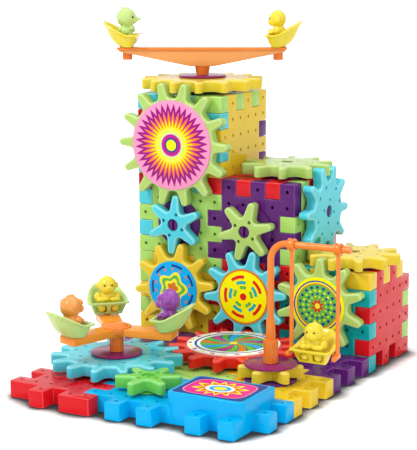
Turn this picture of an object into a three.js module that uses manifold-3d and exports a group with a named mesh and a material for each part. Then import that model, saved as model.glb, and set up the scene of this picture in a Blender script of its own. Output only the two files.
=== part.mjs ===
// A building toy of interlocking square tiles: three towers on a tiled base, with a train of
// fourteen meshing gears that a motor block drives, a see-saw, a carousel and a swing.
// Lengths in millimetres, +Z up. X runs along the front wall, Y into depth, and the origin is
// on the ground under the middle of the whole set.

import * as THREE from 'three';
import { mergeVertices } from 'three/addons/utils/BufferGeometryUtils.js';
import Module from 'manifold-3d';

const wasm = await Module();
wasm.setup();

// Tiles
const cell = 12;
const seam = 0.15;
const tileSide = 6;
const overrun = 2;

// Gears
const gearThick = 8.2;
const gearLift = 2.4;
const addendum = 4.6;
const dedendum = 7.2;
const toothRoot = 8.2;
const toothTip = 4.8;
const tipSteps = 3;
const boreSteps = 10;
const axleSteps = 8;
const toothShare = 0.25;
const runningGap = 0.3;
const labelThick = 0.8;
const labelRoof = 0.7;
const labelRadiusMiddle = 20.6;
const labelRadiusLarge = 32;

// Spindles, which sit on the tiles
const flangeRadius = 18;
const flangeThick = 1.3;
const axleRadius = 4.3;
const slotWidth = 1.4;
const slotDepth = 4.5;
const bossRadius = 9;
const flangeSteps = 12;
const seatGap = 0.3;

// Coupling discs, which carry a ride on top of a gear
const discThick = 1.3;
const stubRadius = 2.6;
const stubLength = 7;
const roundSteps = 16;
const pegSteps = 6;

// Motor block
const boxPinionRoom = 4.85;
const boxDepth = 43.2;
const boxHeight = 9.6;
const boxCorner = 4;
const cornerSteps = 3;

// Carousel
const carouselPost = 5.2;
const postRibs = 10;
const ribDepth = 0.6;
const carouselArmLift = 11.8;
const armThick = 5.6;
const armReach = 43;
const armRootWidth = 13;
const armTipWidth = 16.5;
const armCount = 3;
const hubRadius = 10.6;
const hubRise = 3.2;
const hubBand = 3;
const carouselSeatReach = 38.9;

// See-saw
const beamOverhang = 6.8;
const beamWidth = 15.6;
const plankThick = 2;
const webInset = 1.1;
const beamEnd = 3.2;
const beamDrop = 14;
const beamFlat = 9;
const footTop = 6.2;
const footBottom = 4.6;
const footHeight = 6.6;
const endPegRadius = 3.5;
const endPegLength = 8;
const endPegRibs = 8;
const beamSeatReach = 57.2;

// Swing
const swingPost = 5.1;
const swingPostHeight = 16;
const swingCollar = 3.1;
const swingCollarTop = 30;
const tubeRadius = 2.5;
const barHeight = 82.6;
const barReach = 58.5;
const bendRadius = 12;
const bendShare = 0.45;
const tubeSteps = 8;
const bendSteps = 5;
const clipRadius = 4;
const clipWidth = 5.6;
const clipGroove = 1.2;
const clipSteps = 8;
const hangerRadius = 1.4;
const hookBack = 2.4;
const hookReach = 7.2;
const hookDrop = 4.2;
const hookThick = 2.8;
const hookLip = 2.2;
const seatDrop = 78;
const seatPlace = 32.6;

// Tubs
const tubFloorFront = 4.4;
const tubFloorBack = 5.2;
const tubFloorHalf = 9.8;
const tubFront = 8.2;
const tubBack = 18;
const tubHalf = 15.2;
const tubSill = 9.4;
const tubLip = 19.8;
const tubWall = 1.4;
const tubSteps = 3;
const hollowSteps = 2;
const tubRim = 2.2;
const tubRimThick = 1.5;
const tubPegRadius = 2.2;
const tubPegLength = 3.6;
const legHoleInner = 1.3;
const legHoleOuter = 8.2;
const legHoleLow = 1.6;
const legHoleHigh = 7.4;
const scoopShare = 0.25;

// Figures
const headRadius = 8;
const headRise = 20.4;
const bodyRadius = 6.3;
const bodyHeight = 15.4;
const bodyBack = 1.5;
const figureLift = 0.3;
const muzzleRadius = 4.2;
const muzzleForward = 6.4;
const muzzleDrop = 2.4;
const earRadius = 2.4;
const beakLength = 6;
const beakRadius = 3;
const armRadius = 2.7;
const armForward = 3.2;
const armSpread = 4.4;
const legRadius = 2.6;
const legSpread = 4.75;
const legForward = 3.4;
const tuftRadius = 2.4;
const headSteps = 8;
const limbSteps = 6;

// The axle ends just under the roof of a labelled gear.
const axleTop = gearLift + gearThick - labelRoof - runningGap;

// The pitch radius is a quarter of a cell for each tooth, so that gears centred on the grid of
// pin holes mesh: six to fourteen teeth five cells apart, six to ten four, ten to ten five.
const pitchRadius = (teeth) => teeth * toothShare * cell;
const pinionTeeth = 6;

// The label's radius for each tooth count that carries one.
const labelRadius = { 10: labelRadiusMiddle, 14: labelRadiusLarge };

// Colours of the moulded plastic
const finishes = {
  red: '#df2f2a',
  yellow: '#efcf2b',
  lime: '#a3d35f',
  green: '#57c24b',
  purple: '#6a2c7c',
  teal: '#12a7ad',
  cyan: '#55c9d9',
  sky: '#12b2f3',
  orange: '#f6831f',
  amber: '#f9a24e',
  violet: '#8d3a9b',
};

const group = new THREE.Group();
group.name = 'gear_building_set';

function finish(colour) {
  return new THREE.MeshStandardMaterial({ color: finishes[colour], roughness: 0.28, metalness: 0 });
}

// Solids: a closed geometry becomes a solid for joining and cutting, and comes back as a geometry.

function solidOf(geometry) {
  const bare = geometry.clone();
  bare.deleteAttribute('normal');
  bare.deleteAttribute('uv');
  const merged = mergeVertices(bare.index ? bare.toNonIndexed() : bare, 1e-4);
  return new wasm.Manifold(new wasm.Mesh({
    numProp: 3,
    vertProperties: new Float32Array(merged.attributes.position.array),
    triVerts: new Uint32Array(merged.index.array),
  }));
}

function geometryOf(solid) {
  const mesh = solid.getMesh();
  const geometry = new THREE.BufferGeometry();
  geometry.setAttribute('position', new THREE.BufferAttribute(new Float32Array(mesh.vertProperties), 3));
  geometry.setIndex(new THREE.BufferAttribute(new Uint32Array(mesh.triVerts), 1));
  geometry.computeVertexNormals();
  return geometry;
}

function join(...geometries) {
  return geometryOf(geometries.map(solidOf).reduce((all, next) => all.add(next)));
}

function cut(geometry, ...tools) {
  return geometryOf(tools.map(solidOf).reduce((left, tool) => left.subtract(tool), solidOf(geometry)));
}

function meet(...geometries) {
  return geometryOf(geometries.map(solidOf).reduce((all, next) => all.intersect(next)));
}

// A round bar, disc or frustum standing on z = low.
function column(radius, low, high, steps = roundSteps, topRadius = radius) {
  const shape = new THREE.CylinderGeometry(topRadius, radius, high - low, steps);
  return shape.rotateX(Math.PI / 2).translate(0, 0, (low + high) / 2);
}

// A flat outline raised from z = low to z = high.
function slab(shape, low, high, curveSegments = bendSteps) {
  return new THREE.ExtrudeGeometry(shape, { depth: high - low, bevelEnabled: false, curveSegments })
    .translate(0, 0, low);
}

// A round post whose every second point stands out as a rib.
function ribbed(radius, low, high, ribs) {
  const shape = new THREE.Shape();
  for (let i = 0; i < ribs * 2; i += 1) {
    const a = (i / ribs) * Math.PI;
    const r = i % 2 ? radius - ribDepth : radius;
    shape[i === 0 ? 'moveTo' : 'lineTo'](Math.cos(a) * r, Math.sin(a) * r);
  }
  return slab(shape, low, high);
}

function ball(radius, x, y, z, stretchShares = [1, 1, 1], steps = limbSteps) {
  return new THREE.SphereGeometry(radius, steps, steps / 2)
    .rotateX(Math.PI / 2)
    .scale(...stretchShares)
    .translate(x, y, z);
}

// Placing: every tile, spindle and gear is drawn lying flat, with its outer face up at z = 0,
// and its frame is then stood up against the side of the tower it belongs to.
const facings = {
  top: [0, 0],
  front: [Math.PI / 2, 0],
  right: [Math.PI / 2, Math.PI / 2],
  back: [Math.PI / 2, Math.PI],
  left: [Math.PI / 2, -Math.PI / 2],
};

function frameAt(facing, placeShare, parent = group) {
  const frame = new THREE.Group();
  const [tip, yaw] = facings[facing];
  frame.rotation.set(tip, 0, yaw, 'ZYX');
  const [x, y, z] = placeShare;
  frame.position.set(x * cell, y * cell, z * cell);
  parent.add(frame);
  return frame;
}

function place(name, geometry, colour, frame) {
  const mesh = new THREE.Mesh(geometry, finish(colour));
  mesh.name = name;
  frame.add(mesh);
  return mesh;
}

// Tiles: a square of four by four cells in a ring of tabs. Going round the ring the cells are
// open and filled in turn, the same on all four sides, and one of the four corners is filled.
const cornerCells = { none: [-1, -1], bottomLeft: [0, 0], bottomRight: [5, 0], topRight: [5, 5], topLeft: [0, 5] };

function tileCells(column0, row0, corner) {
  const last = tileSide - 1;
  const cells = [];
  for (let u = 0; u < tileSide; u += 1) {
    for (let v = 0; v < tileSide; v += 1) {
      const inRow = u > 0 && u < last;
      const inColumn = v > 0 && v < last;
      let filled = inRow && inColumn;
      if (inRow && v === 0) filled = u % 2 === 0;
      if (inRow && v === last) filled = u % 2 === 1;
      if (inColumn && u === last) filled = v % 2 === 0;
      if (inColumn && u === 0) filled = v % 2 === 1;
      if (!inRow && !inColumn) filled = cornerCells[corner][0] === u && cornerCells[corner][1] === v;
      if (filled) cells.push(`${u + column0},${v + row0}`);
    }
  }
  return cells;
}

// The outline of a set of cells, counter-clockwise, drawn in by the seam on every edge.
function cellOutline(cells) {
  const filled = new Set(cells);
  const next = new Map();
  for (const key of filled) {
    const [u, v] = key.split(',').map(Number);
    const sides = [
      [[u, v - 1], [u, v], [u + 1, v]],
      [[u + 1, v], [u + 1, v], [u + 1, v + 1]],
      [[u, v + 1], [u + 1, v + 1], [u, v + 1]],
      [[u - 1, v], [u, v + 1], [u, v]],
    ];
    for (const [beyond, from, to] of sides) {
      if (!filled.has(beyond.join(','))) next.set(from.join(','), to);
    }
  }
  const start = [...next.keys()][0];
  const loop = [];
  let at = start;
  do {
    loop.push(at.split(',').map(Number));
    at = next.get(at).join(',');
  } while (at !== start);
  const shape = [];
  loop.forEach(([u, v], i) => {
    const [pu, pv] = loop[(i + loop.length - 1) % loop.length];
    const [nu, nv] = loop[(i + 1) % loop.length];
    const inward = [-(v - pv) - (nv - v), u - pu + (nu - u)];
    const turns = (u - pu) * (nv - v) !== (v - pv) * (nu - u);
    if (turns) shape.push(new THREE.Vector2(u * cell + inward[0] * seam, v * cell + inward[1] * seam));
  });
  return new THREE.Shape(shape);
}

// A spindle: a flange just clear of the tiles round it, on a low boss that stands on its own
// tile's cells alone, and an axle with a slot across its end.
function spindle(u, v, cells) {
  const low = seatGap;
  const high = seatGap + flangeThick;
  const ownCells = slab(cellOutline(cells), -overrun, high).translate(-u * cell, -v * cell, 0);
  const parts = [
    column(flangeRadius, low, high, flangeSteps),
    meet(column(bossRadius, -overrun, (low + high) / 2, axleSteps), ownCells),
    column(axleRadius, low, axleTop, axleSteps),
  ];
  const slot = new THREE.BoxGeometry(slotWidth, axleRadius * 2 + overrun, slotDepth + overrun)
    .translate(0, 0, axleTop - (slotDepth - overrun) / 2);
  return cut(join(...parts), slot).translate(u * cell, v * cell, 0);
}

function tile(name, facing, placeShare, corner, colour, spindleShares = []) {
  const cells = tileCells(0, 0, corner);
  const plate = slab(cellOutline(cells), seam - cell, 0);
  const spindles = spindleShares.map(([u, v]) => spindle(u, v, cells));
  const body = spindles.length ? join(plate, ...spindles) : plate;
  place(name, body, colour, frameAt(facing, placeShare));
}

// Places in cells: the outer lower left corner of a tile as its own face is looked at.
const tilePlaceShares = [
  ['base_front_left', 'top', [0, -15, 1], 'bottomRight', 'red'],
  ['base_left', 'top', [0, -10, 1], 'bottomRight', 'yellow', [[4, 1]]],
  ['base_middle', 'top', [5, -10, 1], 'bottomRight', 'lime'],
  ['base_right', 'top', [10, -10, 1], 'bottomRight', 'yellow', [[3, 3]]],
  ['base_back_left', 'top', [0, -5, 1], 'bottomRight', 'purple'],
  ['base_back_middle', 'top', [5, -5, 1], 'bottomRight', 'teal', [[4, 1]]],
  ['base_back_right', 'top', [10, -5, 1], 'bottomRight', 'purple'],
  ['front_left_low', 'front', [0, 0, 0], 'bottomLeft', 'yellow', [[3, 4]]],
  ['front_left_mid', 'front', [0, 0, 5], 'bottomRight', 'lime', [[3, 3]]],
  ['front_left_high', 'front', [0, 0, 10], 'topLeft', 'cyan', [[3, 3]]],
  ['front_middle_low', 'front', [5, 0, 0], 'topRight', 'red', [[3, 4]]],
  ['front_middle_high', 'front', [5, 0, 5], 'topRight', 'purple', [[3, 3]]],
  ['front_right_low', 'front', [10, 0, 0], 'bottomRight', 'teal', [[3, 4]]],
  ['side_left_low', 'left', [0, 6, 0], 'topRight', 'lime'],
  ['side_left_mid', 'left', [0, 6, 5], 'none', 'cyan'],
  ['side_left_high', 'left', [0, 6, 10], 'bottomRight', 'red'],
  ['side_right_high', 'right', [6, 0, 10], 'topRight', 'yellow'],
  ['side_right_mid', 'right', [11, 0, 5], 'topRight', 'lime', [[3, 4]]],
  ['side_right_low', 'right', [16, 0, 0], 'bottomRight', 'red'],
  ['back_left_high', 'back', [6, 6, 10], 'bottomRight', 'purple'],
  ['back_right_low', 'back', [16, 6, 0], 'none', 'lime'],
  ['top_left', 'top', [0, 0, 16], 'bottomRight', 'lime', [[3, 3]]],
  ['top_middle', 'top', [5, 0, 11], 'bottomLeft', 'red', [[4, 3]]],
  ['top_right', 'top', [10, 0, 6], 'bottomRight', 'yellow', [[4, 2]]],
];

for (const row of tilePlaceShares) tile(...row);

// The hidden middle of the back wall is four tiles pushed together, kept as one panel.
const backPlaceShare = [11, 6, 0];
const backPitchShare = 5;
const backCells = [
  ...tileCells(0, 0, 'none'),
  ...tileCells(backPitchShare, 0, 'none'),
  ...tileCells(0, backPitchShare, 'none'),
  ...tileCells(backPitchShare, backPitchShare, 'none'),
];
place('back_middle_panel', slab(cellOutline(backCells), seam - cell, 0), 'purple', frameAt('back', backPlaceShare));

// The motor block is two tiles long, with the battery box flush with its front and right edges.
// The box ends just clear of the pinion's teeth.
const motorPlaceShare = [5, -15, 1];
const pinionShare = [3, 3];
const motorCells = [...tileCells(0, 0, 'none'), ...tileCells(tileSide - 1, 0, 'none')];

function roundedRectangle(left, bottom, right, top, radius) {
  const shape = new THREE.Shape();
  shape.moveTo(left + radius, bottom);
  shape.lineTo(right - radius, bottom);
  shape.absarc(right - radius, bottom + radius, radius, -Math.PI / 2, 0);
  shape.lineTo(right, top - radius);
  shape.absarc(right - radius, top - radius, radius, 0, Math.PI / 2);
  shape.lineTo(left + radius, top);
  shape.absarc(left + radius, top - radius, radius, Math.PI / 2, Math.PI);
  shape.lineTo(left, bottom + radius);
  shape.absarc(left + radius, bottom + radius, radius, Math.PI, Math.PI * 1.5);
  return shape;
}

const motorCorner = [(tileSide * 2 - 2) * cell - seam, cell + seam];
const batteryBox = roundedRectangle(
  pinionShare[0] * cell + pitchRadius(pinionTeeth) + addendum + boxPinionRoom,
  motorCorner[1],
  motorCorner[0],
  motorCorner[1] + boxDepth,
  boxCorner,
);
const motorPlate = slab(cellOutline(motorCells), seam - cell, 0);
const motorBody = join(
  motorPlate,
  slab(batteryBox, -overrun, boxHeight, cornerSteps),
  spindle(...pinionShare, motorCells),
);
place('motor_block', motorBody, 'sky', frameAt('top', motorPlaceShare));

function gearOutline(teeth) {
  const root = pitchRadius(teeth) - dedendum;
  const tip = pitchRadius(teeth) + addendum;
  const shape = [];
  const rootAngle = Math.asin(toothRoot / 2 / root);
  for (let k = 0; k < teeth; k += 1) {
    const turn = (k / teeth) * Math.PI * 2;
    shape.push([root, turn - rootAngle]);
    const crown = tip - toothTip / 2;
    for (let i = 0; i <= tipSteps; i += 1) {
      const bend = (i / tipSteps - 1 / 2) * Math.PI;
      const x = crown + Math.cos(bend) * (toothTip / 2);
      const y = Math.sin(bend) * (toothTip / 2);
      shape.push([Math.hypot(x, y), turn + Math.atan2(y, x)]);
    }
    shape.push([root, turn + rootAngle]);
  }
  return new THREE.Shape(shape.map(([r, a]) => new THREE.Vector2(r * Math.cos(a), r * Math.sin(a))));
}

// turnShare is the gear's turn at rest, in tooth pitches, that puts it in mesh.
function gear(name, teeth, facing, placeShare, turnShare, colour, labelled) {
  const low = gearLift;
  const high = gearLift + gearThick;
  const wheel = slab(gearOutline(teeth), low, high);
  const bore = axleRadius + runningGap;
  const boreTop = labelled ? high - labelRoof : high + overrun;
  const hole = column(bore, low - overrun, boreTop, boreSteps);
  const body = labelled
    ? cut(join(wheel, column(labelRadius[teeth], high - labelThick, high + labelThick)), hole)
    : cut(wheel, hole);
  const turn = (turnShare / teeth) * Math.PI * 2;
  const frame = frameAt(facing, placeShare);
  place(name, body, colour, frame).rotation.z = turn;
  return frame;
}

const gearPlaceShares = [
  ['gear_pinion', 6, 'top', [8, -12, 1], 0.453, 'green', false],
  ['gear_carousel', 14, 'top', [4, -9, 1], 0, 'cyan', false],
  ['gear_red', 14, 'top', [9, -4, 1], 0, 'red', true],
  ['gear_swing', 6, 'top', [13, -7, 1], 0.453, 'yellow', false],
  ['gear_front_cyan', 10, 'front', [8, 0, 4], 0.167, 'cyan', true],
  ['gear_front_yellow', 10, 'front', [3, 0, 4], 0.198, 'yellow', true],
  ['gear_front_lime', 10, 'front', [13, 0, 4], 0.469, 'lime', true],
  ['gear_small_lime', 6, 'front', [8, 0, 8], 0.229, 'lime', false],
  ['gear_small_cyan', 6, 'front', [3, 0, 8], 0.406, 'cyan', false],
  ['gear_sunburst', 14, 'front', [3, 0, 13], 0, 'lime', true],
  ['gear_seesaw', 14, 'top', [3, 3, 16], 0.5, 'yellow', false],
  ['gear_top_right', 10, 'top', [14, 2, 6], 0.354, 'yellow', false],
  ['gear_side', 10, 'right', [11, 3, 9], 0.953, 'cyan', false],
  ['gear_top_middle', 10, 'top', [9, 3, 11], 0.047, 'lime', false],
];

const gearFrames = {};
for (const row of gearPlaceShares) gearFrames[row[0]] = gear(...row);

// Coupling discs lie on a gear and hold a ride's post on a stub.
const discLow = gearLift + gearThick + seatGap;
const discHigh = discLow + discThick;
const rideLow = discHigh + seatGap;

function couplingDisc(name, frame) {
  const body = join(
    column(flangeRadius, discLow, discHigh, roundSteps),
    column(stubRadius, discLow, rideLow + stubLength, boreSteps),
  );
  place(name, body, 'purple', frame);
}

couplingDisc('disc_carousel', gearFrames.gear_carousel);
couplingDisc('disc_seesaw', gearFrames.gear_seesaw);
couplingDisc('disc_swing', gearFrames.gear_swing);

// The socket for the stub in the foot of each ride.
const socket = column(stubRadius + runningGap, rideLow - overrun, rideLow + stubLength + runningGap, boreSteps);

// Carousel: post, domed hub and three arms that widen outwards.
const armLow = rideLow + carouselArmLift;
const armHigh = armLow + armThick;
const carouselTurn = THREE.MathUtils.degToRad(12);

function carouselArm(turn) {
  const shape = new THREE.Shape([
    new THREE.Vector2(0, -armRootWidth / 2),
    new THREE.Vector2(armReach, -armTipWidth / 2),
    new THREE.Vector2(armReach, armTipWidth / 2),
    new THREE.Vector2(0, armRootWidth / 2),
  ]);
  const pegHole = column(tubPegRadius + runningGap, armHigh - tubPegLength - runningGap, armHigh + overrun, pegSteps)
    .translate(carouselSeatReach, 0, 0);
  return cut(slab(shape, armLow, armHigh), pegHole).rotateZ(turn);
}

const hubProfile = [
  [0, armLow + hubBand / 2],
  [hubRadius - hubBand, armLow + hubBand / 2],
  [hubRadius, armLow + armThick / 2],
  [hubRadius, armHigh - hubBand / 2],
  [hubRadius - hubBand, armHigh + hubRise / 2],
  [hubRadius / 2, armHigh + hubRise - hubBand / 4],
  [0, armHigh + hubRise],
].map(([r, z]) => new THREE.Vector2(r, z));
const hub = new THREE.LatheGeometry(hubProfile, roundSteps).rotateX(Math.PI / 2);
const carouselArms = [];
for (let k = 0; k < armCount; k += 1) carouselArms.push(carouselArm(carouselTurn + (k / armCount) * Math.PI * 2));
const carouselBody = cut(join(ribbed(carouselPost, rideLow, armHigh, postRibs), hub, ...carouselArms), socket);
place('carousel_frame', carouselBody, 'orange', gearFrames.gear_carousel);

// See-saw: a plank on a narrower web whose depth grows towards the middle, with a conical foot
// and a ribbed peg under each end.
const beamTurn = THREE.MathUtils.degToRad(24);
const beamBottom = rideLow + footHeight;
const beamTop = beamBottom + beamDrop;
const beamHalf = beamSeatReach + beamOverhang;
const webHalf = beamHalf - webInset;
const beamSide = new THREE.Shape([
  new THREE.Vector2(-webHalf, beamTop - beamEnd),
  new THREE.Vector2(-beamFlat, beamBottom),
  new THREE.Vector2(beamFlat, beamBottom),
  new THREE.Vector2(webHalf, beamTop - beamEnd),
  new THREE.Vector2(webHalf, beamTop - plankThick / 2),
  new THREE.Vector2(-webHalf, beamTop - plankThick / 2),
]);
const webSide = beamWidth / 2 - webInset;
const beamWeb = slab(beamSide, -webSide, webSide).rotateX(Math.PI / 2);
const beamPlank = new THREE.BoxGeometry(beamHalf * 2, beamWidth, plankThick)
  .translate(0, 0, beamTop - plankThick / 2);
const beamPegs = [-1, 1].map((end) => ribbed(
  endPegRadius,
  beamTop - beamEnd - endPegLength,
  beamTop - beamEnd / 2,
  endPegRibs,
).translate(end * beamSeatReach, 0, 0));
const beamHoles = [-1, 1].map((end) => column(
  tubPegRadius + runningGap,
  beamTop - tubPegLength - runningGap,
  beamTop + overrun,
  pegSteps,
).translate(end * beamSeatReach, 0, 0));
const beamBody = cut(
  join(beamWeb, beamPlank, column(footBottom, rideLow, beamBottom + overrun, boreSteps, footTop), ...beamPegs),
  socket,
  ...beamHoles,
).rotateZ(beamTurn);
place('seesaw_beam', beamBody, 'orange', gearFrames.gear_seesaw);

// Swing frame: a stepped post whose tube bends a quarter turn into the bar.
const barLevel = rideLow + barHeight;
const bendPath = new THREE.CubicBezierCurve3(
  new THREE.Vector3(0, 0, barLevel - bendRadius - overrun),
  new THREE.Vector3(0, 0, barLevel - bendRadius * bendShare),
  new THREE.Vector3(bendRadius * bendShare, 0, barLevel),
  new THREE.Vector3(bendRadius + overrun, 0, barLevel),
);
const tubeSection = new THREE.Shape();
for (let i = 0; i < tubeSteps; i += 1) {
  const a = (i / tubeSteps) * Math.PI * 2;
  tubeSection[i === 0 ? 'moveTo' : 'lineTo'](Math.cos(a) * tubeRadius, Math.sin(a) * tubeRadius);
}
const bend = new THREE.ExtrudeGeometry(tubeSection, { steps: bendSteps, extrudePath: bendPath, bevelEnabled: false });
const upright = column(tubeRadius, rideLow + swingPostHeight, barLevel - bendRadius, tubeSteps);
const bar = column(tubeRadius, bendRadius, barReach, tubeSteps).rotateY(Math.PI / 2).translate(0, 0, barLevel);
const swingBody = cut(
  join(
    ribbed(swingPost, rideLow, rideLow + swingPostHeight, postRibs),
    column(swingCollar, rideLow + swingPostHeight - overrun, rideLow + swingCollarTop, boreSteps),
    upright,
    bend,
    bar,
  ),
  socket,
);
place('swing_frame', swingBody, 'orange', gearFrames.gear_swing);

// Tubs: drawn from the side, the front and above, and the three outlines cut each other. s runs
// from the low front to the scooped back, and the floor's middle is the origin.
function tubSolid(inset, rise, steps = tubSteps) {
  const floor = inset;
  const side = new THREE.Shape();
  side.moveTo(-tubFloorFront + inset / 2, floor);
  side.lineTo(tubFloorBack - inset / 2, floor);
  side.quadraticCurveTo(tubBack - tubSill - inset, tubSill / 2, tubBack - inset, tubLip + rise);
  side.lineTo(tubBack - tubLip / 2, tubSill + tubLip * scoopShare + rise);
  side.quadraticCurveTo(tubFloorBack, tubSill + rise, 0, tubSill + rise);
  side.lineTo(-tubFront + inset, tubSill + rise);
  const across = new THREE.Shape([
    new THREE.Vector2(-tubFloorHalf + inset, floor),
    new THREE.Vector2(tubFloorHalf - inset, floor),
    new THREE.Vector2(tubHalf - tubRim - inset, tubSill),
    new THREE.Vector2(tubHalf - tubRim - inset, tubLip + rise + overrun),
    new THREE.Vector2(-tubHalf + tubRim + inset, tubLip + rise + overrun),
    new THREE.Vector2(-tubHalf + tubRim + inset, tubSill),
  ]);
  const plan = tubPlan(-inset);
  return meet(
    slab(side, -tubHalf * 2, tubHalf * 2, steps).rotateX(Math.PI / 2),
    slab(across, -tubBack * 2, tubBack * 2, steps).rotateX(Math.PI / 2).rotateZ(Math.PI / 2),
    slab(plan, -overrun, tubLip * 2, steps),
  );
}

function tubPlan(grow) {
  const half = tubHalf - tubRim + grow;
  const plan = new THREE.Shape();
  plan.moveTo(-tubFront - grow, -half);
  plan.lineTo(tubFloorBack, -half);
  plan.quadraticCurveTo(tubBack + grow, -half, tubBack + grow, 0);
  plan.quadraticCurveTo(tubBack + grow, half, tubFloorBack, half);
  plan.lineTo(-tubFront - grow, half);
  return plan;
}

// The rim is a band along the upper edge that stands out all round.
function tubRimBand() {
  const band = new THREE.Shape();
  const low = -tubRimThick;
  band.moveTo(-tubFront - tubRim, tubSill + low);
  band.lineTo(0, tubSill + low);
  band.quadraticCurveTo(tubFloorBack, tubSill + low, tubBack - tubLip / 2, tubSill + tubLip * scoopShare + low);
  band.lineTo(tubBack + tubRim, tubLip + low);
  band.lineTo(tubBack + tubRim, tubLip);
  band.lineTo(tubBack, tubLip);
  band.lineTo(tubBack - tubLip / 2, tubSill + tubLip * scoopShare);
  band.quadraticCurveTo(tubFloorBack, tubSill, 0, tubSill);
  band.lineTo(-tubFront - tubRim, tubSill);
  return meet(
    slab(band, -tubHalf * 2, tubHalf * 2, tubSteps).rotateX(Math.PI / 2),
    slab(tubPlan(tubRim), -overrun, tubLip * 2, tubSteps),
  );
}

// The legs come out through two openings in the low front, either side of a bar.
function legHole(side, inset) {
  const width = legHoleOuter - legHoleInner - inset * 2;
  const height = legHoleHigh - legHoleLow - inset * 2;
  const middle = (legHoleLow + legHoleHigh) / 2;
  return new THREE.BoxGeometry(tubFront, width, height)
    .translate(tubWall * 2 - tubFloorFront - tubFront / 2, side * (legHoleInner + legHoleOuter) / 2, middle);
}

function tubGeometry(wall) {
  const peg = column(tubPegRadius, -tubPegLength, wall / 2, pegSteps);
  const shell = cut(join(tubSolid(0, 0), tubRimBand(), peg), tubSolid(wall, overrun, hollowSteps));
  return cut(shell, legHole(-1, wall - tubWall), legHole(1, wall - tubWall));
}

// Figures: a round head on a pear-shaped body, with folded arms, legs that reach out through the
// front of the tub, and a face.
const figureKinds = {
  monkey: { headShare: 0.88, armShare: 1.2, muzzle: 1, ears: 1, tuft: 0, beak: 0 },
  pup: { headShare: 1, armShare: 1, muzzle: 1, ears: 1, tuft: 1, beak: 0 },
  chick: { headShare: 1, armShare: 1, muzzle: 0, ears: 0, tuft: 1, beak: 1 },
};
const bodyShares = [[0, 0], [0.5, 0], [1, 0.3], [0.85, 0.65], [0.6, 1], [0, 1]];
const shoulderShare = 0.66;
const armStretchShares = [1.4, 1.1, 1];
const earStretchShares = [0.7, 1, 1];
const muzzleStretchShares = [1, 1.2, 0.9];
const beakTipShare = 0.25;

function figureGeometry(kind) {
  const { headShare, armShare, muzzle, ears, tuft, beak } = figureKinds[kind];
  const skull = headRadius * headShare;
  const low = tubWall + figureLift;
  const profile = bodyShares.map(([r, z]) => new THREE.Vector2(r * bodyRadius, low + z * bodyHeight));
  const body = new THREE.LatheGeometry(profile, headSteps).rotateX(Math.PI / 2).translate(bodyBack, 0, 0);
  const parts = [body, ball(skull, 0, 0, headRise, [1, 1, 1], headSteps)];
  const shoulder = low + bodyHeight * shoulderShare;
  const hip = (legHoleLow + legHoleHigh) / 2;
  for (const side of [-1, 1]) {
    parts.push(ball(armRadius * armShare, -armForward, side * armSpread * armShare, shoulder, armStretchShares));
    parts.push(ball(legRadius, -legForward, side * legSpread, hip, armStretchShares));
    if (ears) parts.push(ball(earRadius, 0, side * skull, headRise, earStretchShares));
  }
  if (muzzle) parts.push(ball(muzzleRadius * headShare, -muzzleForward * headShare, 0, headRise - muzzleDrop, muzzleStretchShares));
  if (tuft) parts.push(ball(tuftRadius, 0, 0, headRise + headRadius - tuftRadius / 3));
  if (beak) {
    parts.push(column(beakRadius, 0, beakLength, limbSteps, beakRadius * beakTipShare)
      .rotateY(-Math.PI / 2)
      .translate(-headRadius + beakRadius / 2, 0, headRise));
  }
  return cut(join(...parts), tubGeometry(tubWall + figureLift));
}

const tubShape = tubGeometry(tubWall);
const figureShapes = {
  monkey: figureGeometry('monkey'),
  pup: figureGeometry('pup'),
  chick: figureGeometry('chick'),
};

// A seated pair: a tub with its figure, scooped back outwards at a distance along an arm.
function seat(tubName, figureName, kind, tubColour, figureColour, frame, turn, reach, level) {
  const carrier = new THREE.Group();
  carrier.rotation.z = turn;
  const seatFrame = new THREE.Group();
  seatFrame.position.set(reach, 0, level);
  carrier.add(seatFrame);
  frame.add(carrier);
  place(tubName, tubShape, tubColour, seatFrame);
  place(figureName, figureShapes[kind], figureColour, seatFrame);
}

const carouselSeats = [
  ['tub_carousel_right', 'figure_purple_pup', 'pup', 'lime', 'violet'],
  ['tub_carousel_back', 'figure_carousel_monkey', 'monkey', 'lime', 'yellow'],
  ['tub_carousel_left', 'figure_orange_pup', 'pup', 'lime', 'amber'],
];
carouselSeats.forEach((row, k) => {
  const turn = carouselTurn + (k / armCount) * Math.PI * 2;
  seat(...row, gearFrames.gear_carousel, turn, carouselSeatReach, armHigh + seatGap);
});
const beamSeats = [
  ['tub_seesaw_right', 'figure_seesaw_monkey', 'monkey', 'yellow', 'yellow'],
  ['tub_seesaw_left', 'figure_chick', 'chick', 'yellow', 'lime'],
];
beamSeats.forEach((row, k) => {
  seat(...row, gearFrames.gear_seesaw, beamTurn + k * Math.PI, beamSeatReach, beamTop + seatGap);
});

// The swing's seat faces the front, between two hangers that clip round the bar and hook under
// the rim of the tub at its sides.
const swingFrame = gearFrames.gear_swing;
const seatLevel = barLevel - seatDrop;
const rimUnder = seatLevel + tubSill - tubRimThick;
const hangerOffset = tubHalf + runningGap + hangerRadius;
seat('tub_swing', 'figure_swing_monkey', 'monkey', 'yellow', 'yellow', swingFrame, 0, seatPlace, seatLevel);
swingFrame.children[swingFrame.children.length - 1].children[0].rotation.z = Math.PI / 2;

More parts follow.
